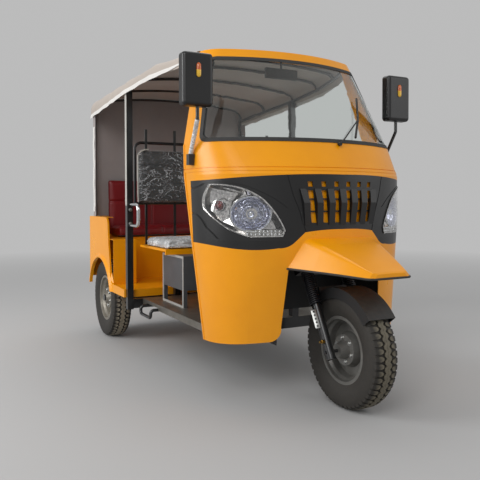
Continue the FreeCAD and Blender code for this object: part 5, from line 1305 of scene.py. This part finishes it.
class RICKSHAW_OT_curtain(bpy.types.Operator):
    """Hangs the curtain that closes the back"""
    bl_idname = "rickshaw.curtain"
    bl_label = "Rear curtain"

    def execute(self, context):
        low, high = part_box("rear_curtain")
        back = high[1] - 0.002
        half = high[0] - 0.003
        wide, crown, corner, sweep, hem = ARCHES[-1][1:]
        foot = low[2] + 0.001
        bend = 0.02
        columns = []
        for number in range(13):
            columns.append((-half, low[1] + 0.004 + (back - bend - low[1]) * number / 13))
        for number in range(7):
            turn = math.pi / 2 * number / 6
            columns.append((-half + bend * (1 - math.cos(turn)), back - bend * (1 - math.sin(turn))))
        for number in range(1, 64):
            columns.append((-half + bend + (half - bend) * number / 64, back))
        columns.append((0.0, back))
        columns += [(-x, y) for x, y in columns[-2::-1]]

        def roof_over(across):
            inner = wide - corner
            if abs(across) <= inner * 0.995:
                return crown - sweep + math.sqrt(sweep ** 2 - across ** 2) - 0.010
            reach = math.sqrt(max(0.0, corner ** 2 - min(corner, abs(across) - inner) ** 2))
            return crown - sweep + math.sqrt((sweep - corner) ** 2 - inner ** 2) + reach - 0.012
        rows = []
        tall = 46
        for level in range(tall + 1):
            row = []
            for x, y in columns:
                top = min(roof_over(x), high[2] - 0.002)
                if y < back - 0.022:
                    top = min(top, hem - 0.010)
                z = foot + (top - foot) * level / tall
                loose = math.sin(math.pi * (level / tall)) ** 0.6
                fold = (0.0034 * math.sin(x * 21 + 2.2 * math.sin(x * 6 + z * 1.3))
                        + 0.0024 * noise.noise(Vector((x * 7, z * 3, 2.0)))) * loose
                row.append((x, min(y + (fold - 0.0040 if y > back - 0.022 else 0.0), back), z))
            rows.append(row)
        cloth = cloth_of(rows, "rear_curtain_cloth", "curtain_cloth", "grey_curtain_cloth", 0.0016)
        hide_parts("rear_curtain")
        # White tape sewn down each side of the curtain
        for side, name in ((-1, "curtain_tape_right"), (1, "curtain_tape_left")):
            rows = []
            for step in range(41):
                z = 0.93 + 0.655 * step / 40
                wave = 0.0012 * math.sin(z * 23) + 0.0008 * math.sin(z * 61 + 1)
                rows.append([(side * (half + 0.0028 + wave), back - 0.067 + 0.045 * level / 4, z)
                             for level in range(5)])
            tape = cloth_of(rows, name, "curtain_cloth", "white_hem_cloth", 0.0012)
        return {"FINISHED"}


# The photo's camera, as fitted to the vehicle: place in metres, then degrees round, up and about its own line
EYE_SPOT = (-1.860, -3.474, 1.020)
EYE_TURN = (27.746, -1.358, -0.121)


def backdrop_rays(tree):
    """1 for the rays that see the backdrop: the camera's, and those off metal or through glass."""
    ray = add_node(tree, "ShaderNodeLightPath")
    shown = add_node(tree, "ShaderNodeMath", None,
                     {0: ray.outputs["Is Camera Ray"], 1: ray.outputs["Is Transmission Ray"]},
                     operation="MAXIMUM")
    return add_node(tree, "ShaderNodeMath", None, {0: shown.outputs[0], 1: ray.outputs["Is Glossy Ray"]},
                    operation="MAXIMUM").outputs[0]


class RICKSHAW_OT_stage(bpy.types.Operator):
    """Sets the floor, the light and the camera"""
    bl_idname = "rickshaw.stage"
    bl_label = "Stage"

    def execute(self, context):
        studio = context.scene.rickshaw_studio
        deselect()
        bpy.ops.mesh.primitive_plane_add(size=60, location=(0, 0, -0.0005))
        floor = bpy.context.object
        floor.name = "Floor"
        paint = Finish("pale_floor")
        matt = add_node(paint.tree, "ShaderNodeBsdfPrincipled",
                        {"Base Color": (*studio.floor_colour, 1), "Roughness": 0.9})
        # The floor runs into the backdrop 3 to 9 m out
        far = paint.span(paint.vector("LENGTH", paint.place), 0.0, 1.0, 3.0, 9.0)
        veil = paint.number("MULTIPLY", far, backdrop_rays(paint.tree))
        wall = add_node(paint.tree, "ShaderNodeEmission",
                        {"Color": (*studio.wall_colour, 1), "Strength": 1.0})
        surface(paint.tree, add_node(paint.tree, "ShaderNodeMixShader", None,
                                     {0: veil, 1: matt.outputs[0], 2: wall.outputs[0]}))
        floor.data.materials.append(FINISHES["pale_floor"])
        world = bpy.data.worlds.new("Studio")
        context.scene.world = world
        world.use_nodes = True
        sky = world.node_tree
        sky.nodes.clear()
        soft = add_node(sky, "ShaderNodeBackground",
                        {"Color": (1, 1, 1, 1), "Strength": studio.sky_strength})
        wall = add_node(sky, "ShaderNodeBackground", {"Color": (*studio.wall_colour, 1), "Strength": 1.0})
        both = add_node(sky, "ShaderNodeMixShader", None,
                        {0: backdrop_rays(sky), 1: soft.outputs[0], 2: wall.outputs[0]})
        add_node(sky, "ShaderNodeOutputWorld", links={"Surface": both.outputs[0]})
        for name, power, wide, spot, target in (
                ("Key", studio.key_power, 3.2, (-4.2, -4.6, 4.6), (0, -0.4, 0.9)),
                ("Fill", studio.key_power * 0.45, 4.0, (4.6, -4.2, 3.2), (0, -0.6, 0.8)),
                ("Side", studio.key_power, 2.6, (-5.0, 0.9, 2.6), (0, 0.5, 1.0)),
                ("Top", studio.key_power * 0.5, 4.0, (0.5, 1.5, 5.2), (0, 0.3, 0.8))):
            lamp = bpy.data.lights.new(name, "AREA")
            lamp.energy = power
            lamp.size = wide
            holder = bpy.data.objects.new(name, lamp)
            context.scene.collection.objects.link(holder)
            way = Vector(target) - Vector(spot)
            holder.matrix_world = Matrix.Translation(spot) @ way.to_track_quat("-Z", "Y").to_matrix().to_4x4()
        eye = bpy.data.cameras.new("Camera")
        eye.lens = 45.74
        eye.sensor_width = 36.0
        eye.shift_x = -0.00104
        eye.shift_y = -0.0542
        eye.clip_end = 200.0
        stand = bpy.data.objects.new("Camera", eye)
        context.scene.collection.objects.link(stand)
        yaw, tilt, roll = (math.radians(angle) for angle in EYE_TURN)
        way = Vector((math.sin(yaw) * math.cos(tilt), math.cos(yaw) * math.cos(tilt), math.sin(tilt)))
        stand.matrix_world = (Matrix.Translation(EYE_SPOT)
                              @ way.to_track_quat("-Z", "Y").to_matrix().to_4x4()
                              @ Matrix.Rotation(roll, 4, "Z"))
        context.scene.camera = stand
        context.scene.view_settings.view_transform = "Standard"
        return {"FINISHED"}


class RICKSHAW_PT_panel(bpy.types.Panel):
    """Lists the steps that dress the vehicle"""
    bl_idname = "RICKSHAW_PT_panel"
    bl_label = "Auto Rickshaw"
    bl_space_type = "VIEW_3D"
    bl_region_type = "UI"
    bl_category = "Rickshaw"

    def draw(self, context):
        for group in (context.scene.rickshaw_sizes, context.scene.rickshaw_studio):
            for name in group.__annotations__:
                self.layout.prop(group, name)
        for operator in OPERATORS:
            self.layout.operator(operator.bl_idname)


OPERATORS = [RICKSHAW_OT_finishes, RICKSHAW_OT_tyres, RICKSHAW_OT_wheel_nuts, RICKSHAW_OT_fork,
             RICKSHAW_OT_wheel_well, RICKSHAW_OT_lamps, RICKSHAW_OT_trim, RICKSHAW_OT_mirrors,
             RICKSHAW_OT_driver_seat, RICKSHAW_OT_rear_seat, RICKSHAW_OT_roof, RICKSHAW_OT_curtain,
             RICKSHAW_OT_stage]
CLASSES = [RickshawSizes, RickshawStudio, *OPERATORS, RICKSHAW_PT_panel]


def register():
    """Registers the classes and the two groups of settings."""
    for item in CLASSES:
        bpy.utils.register_class(item)
    bpy.types.Scene.rickshaw_sizes = bpy.props.PointerProperty(type=RickshawSizes)
    bpy.types.Scene.rickshaw_studio = bpy.props.PointerProperty(type=RickshawStudio)


def unregister():
    """Takes them away again."""
    del bpy.types.Scene.rickshaw_sizes
    del bpy.types.Scene.rickshaw_studio
    for item in reversed(CLASSES):
        bpy.utils.unregister_class(item)


def main():
    """Dresses the vehicle step by step."""
    register()
    for operator in OPERATORS:
        group, name = operator.bl_idname.split(".")
        getattr(getattr(bpy.ops, group), name)()


if __name__ == "__main__":
    main()
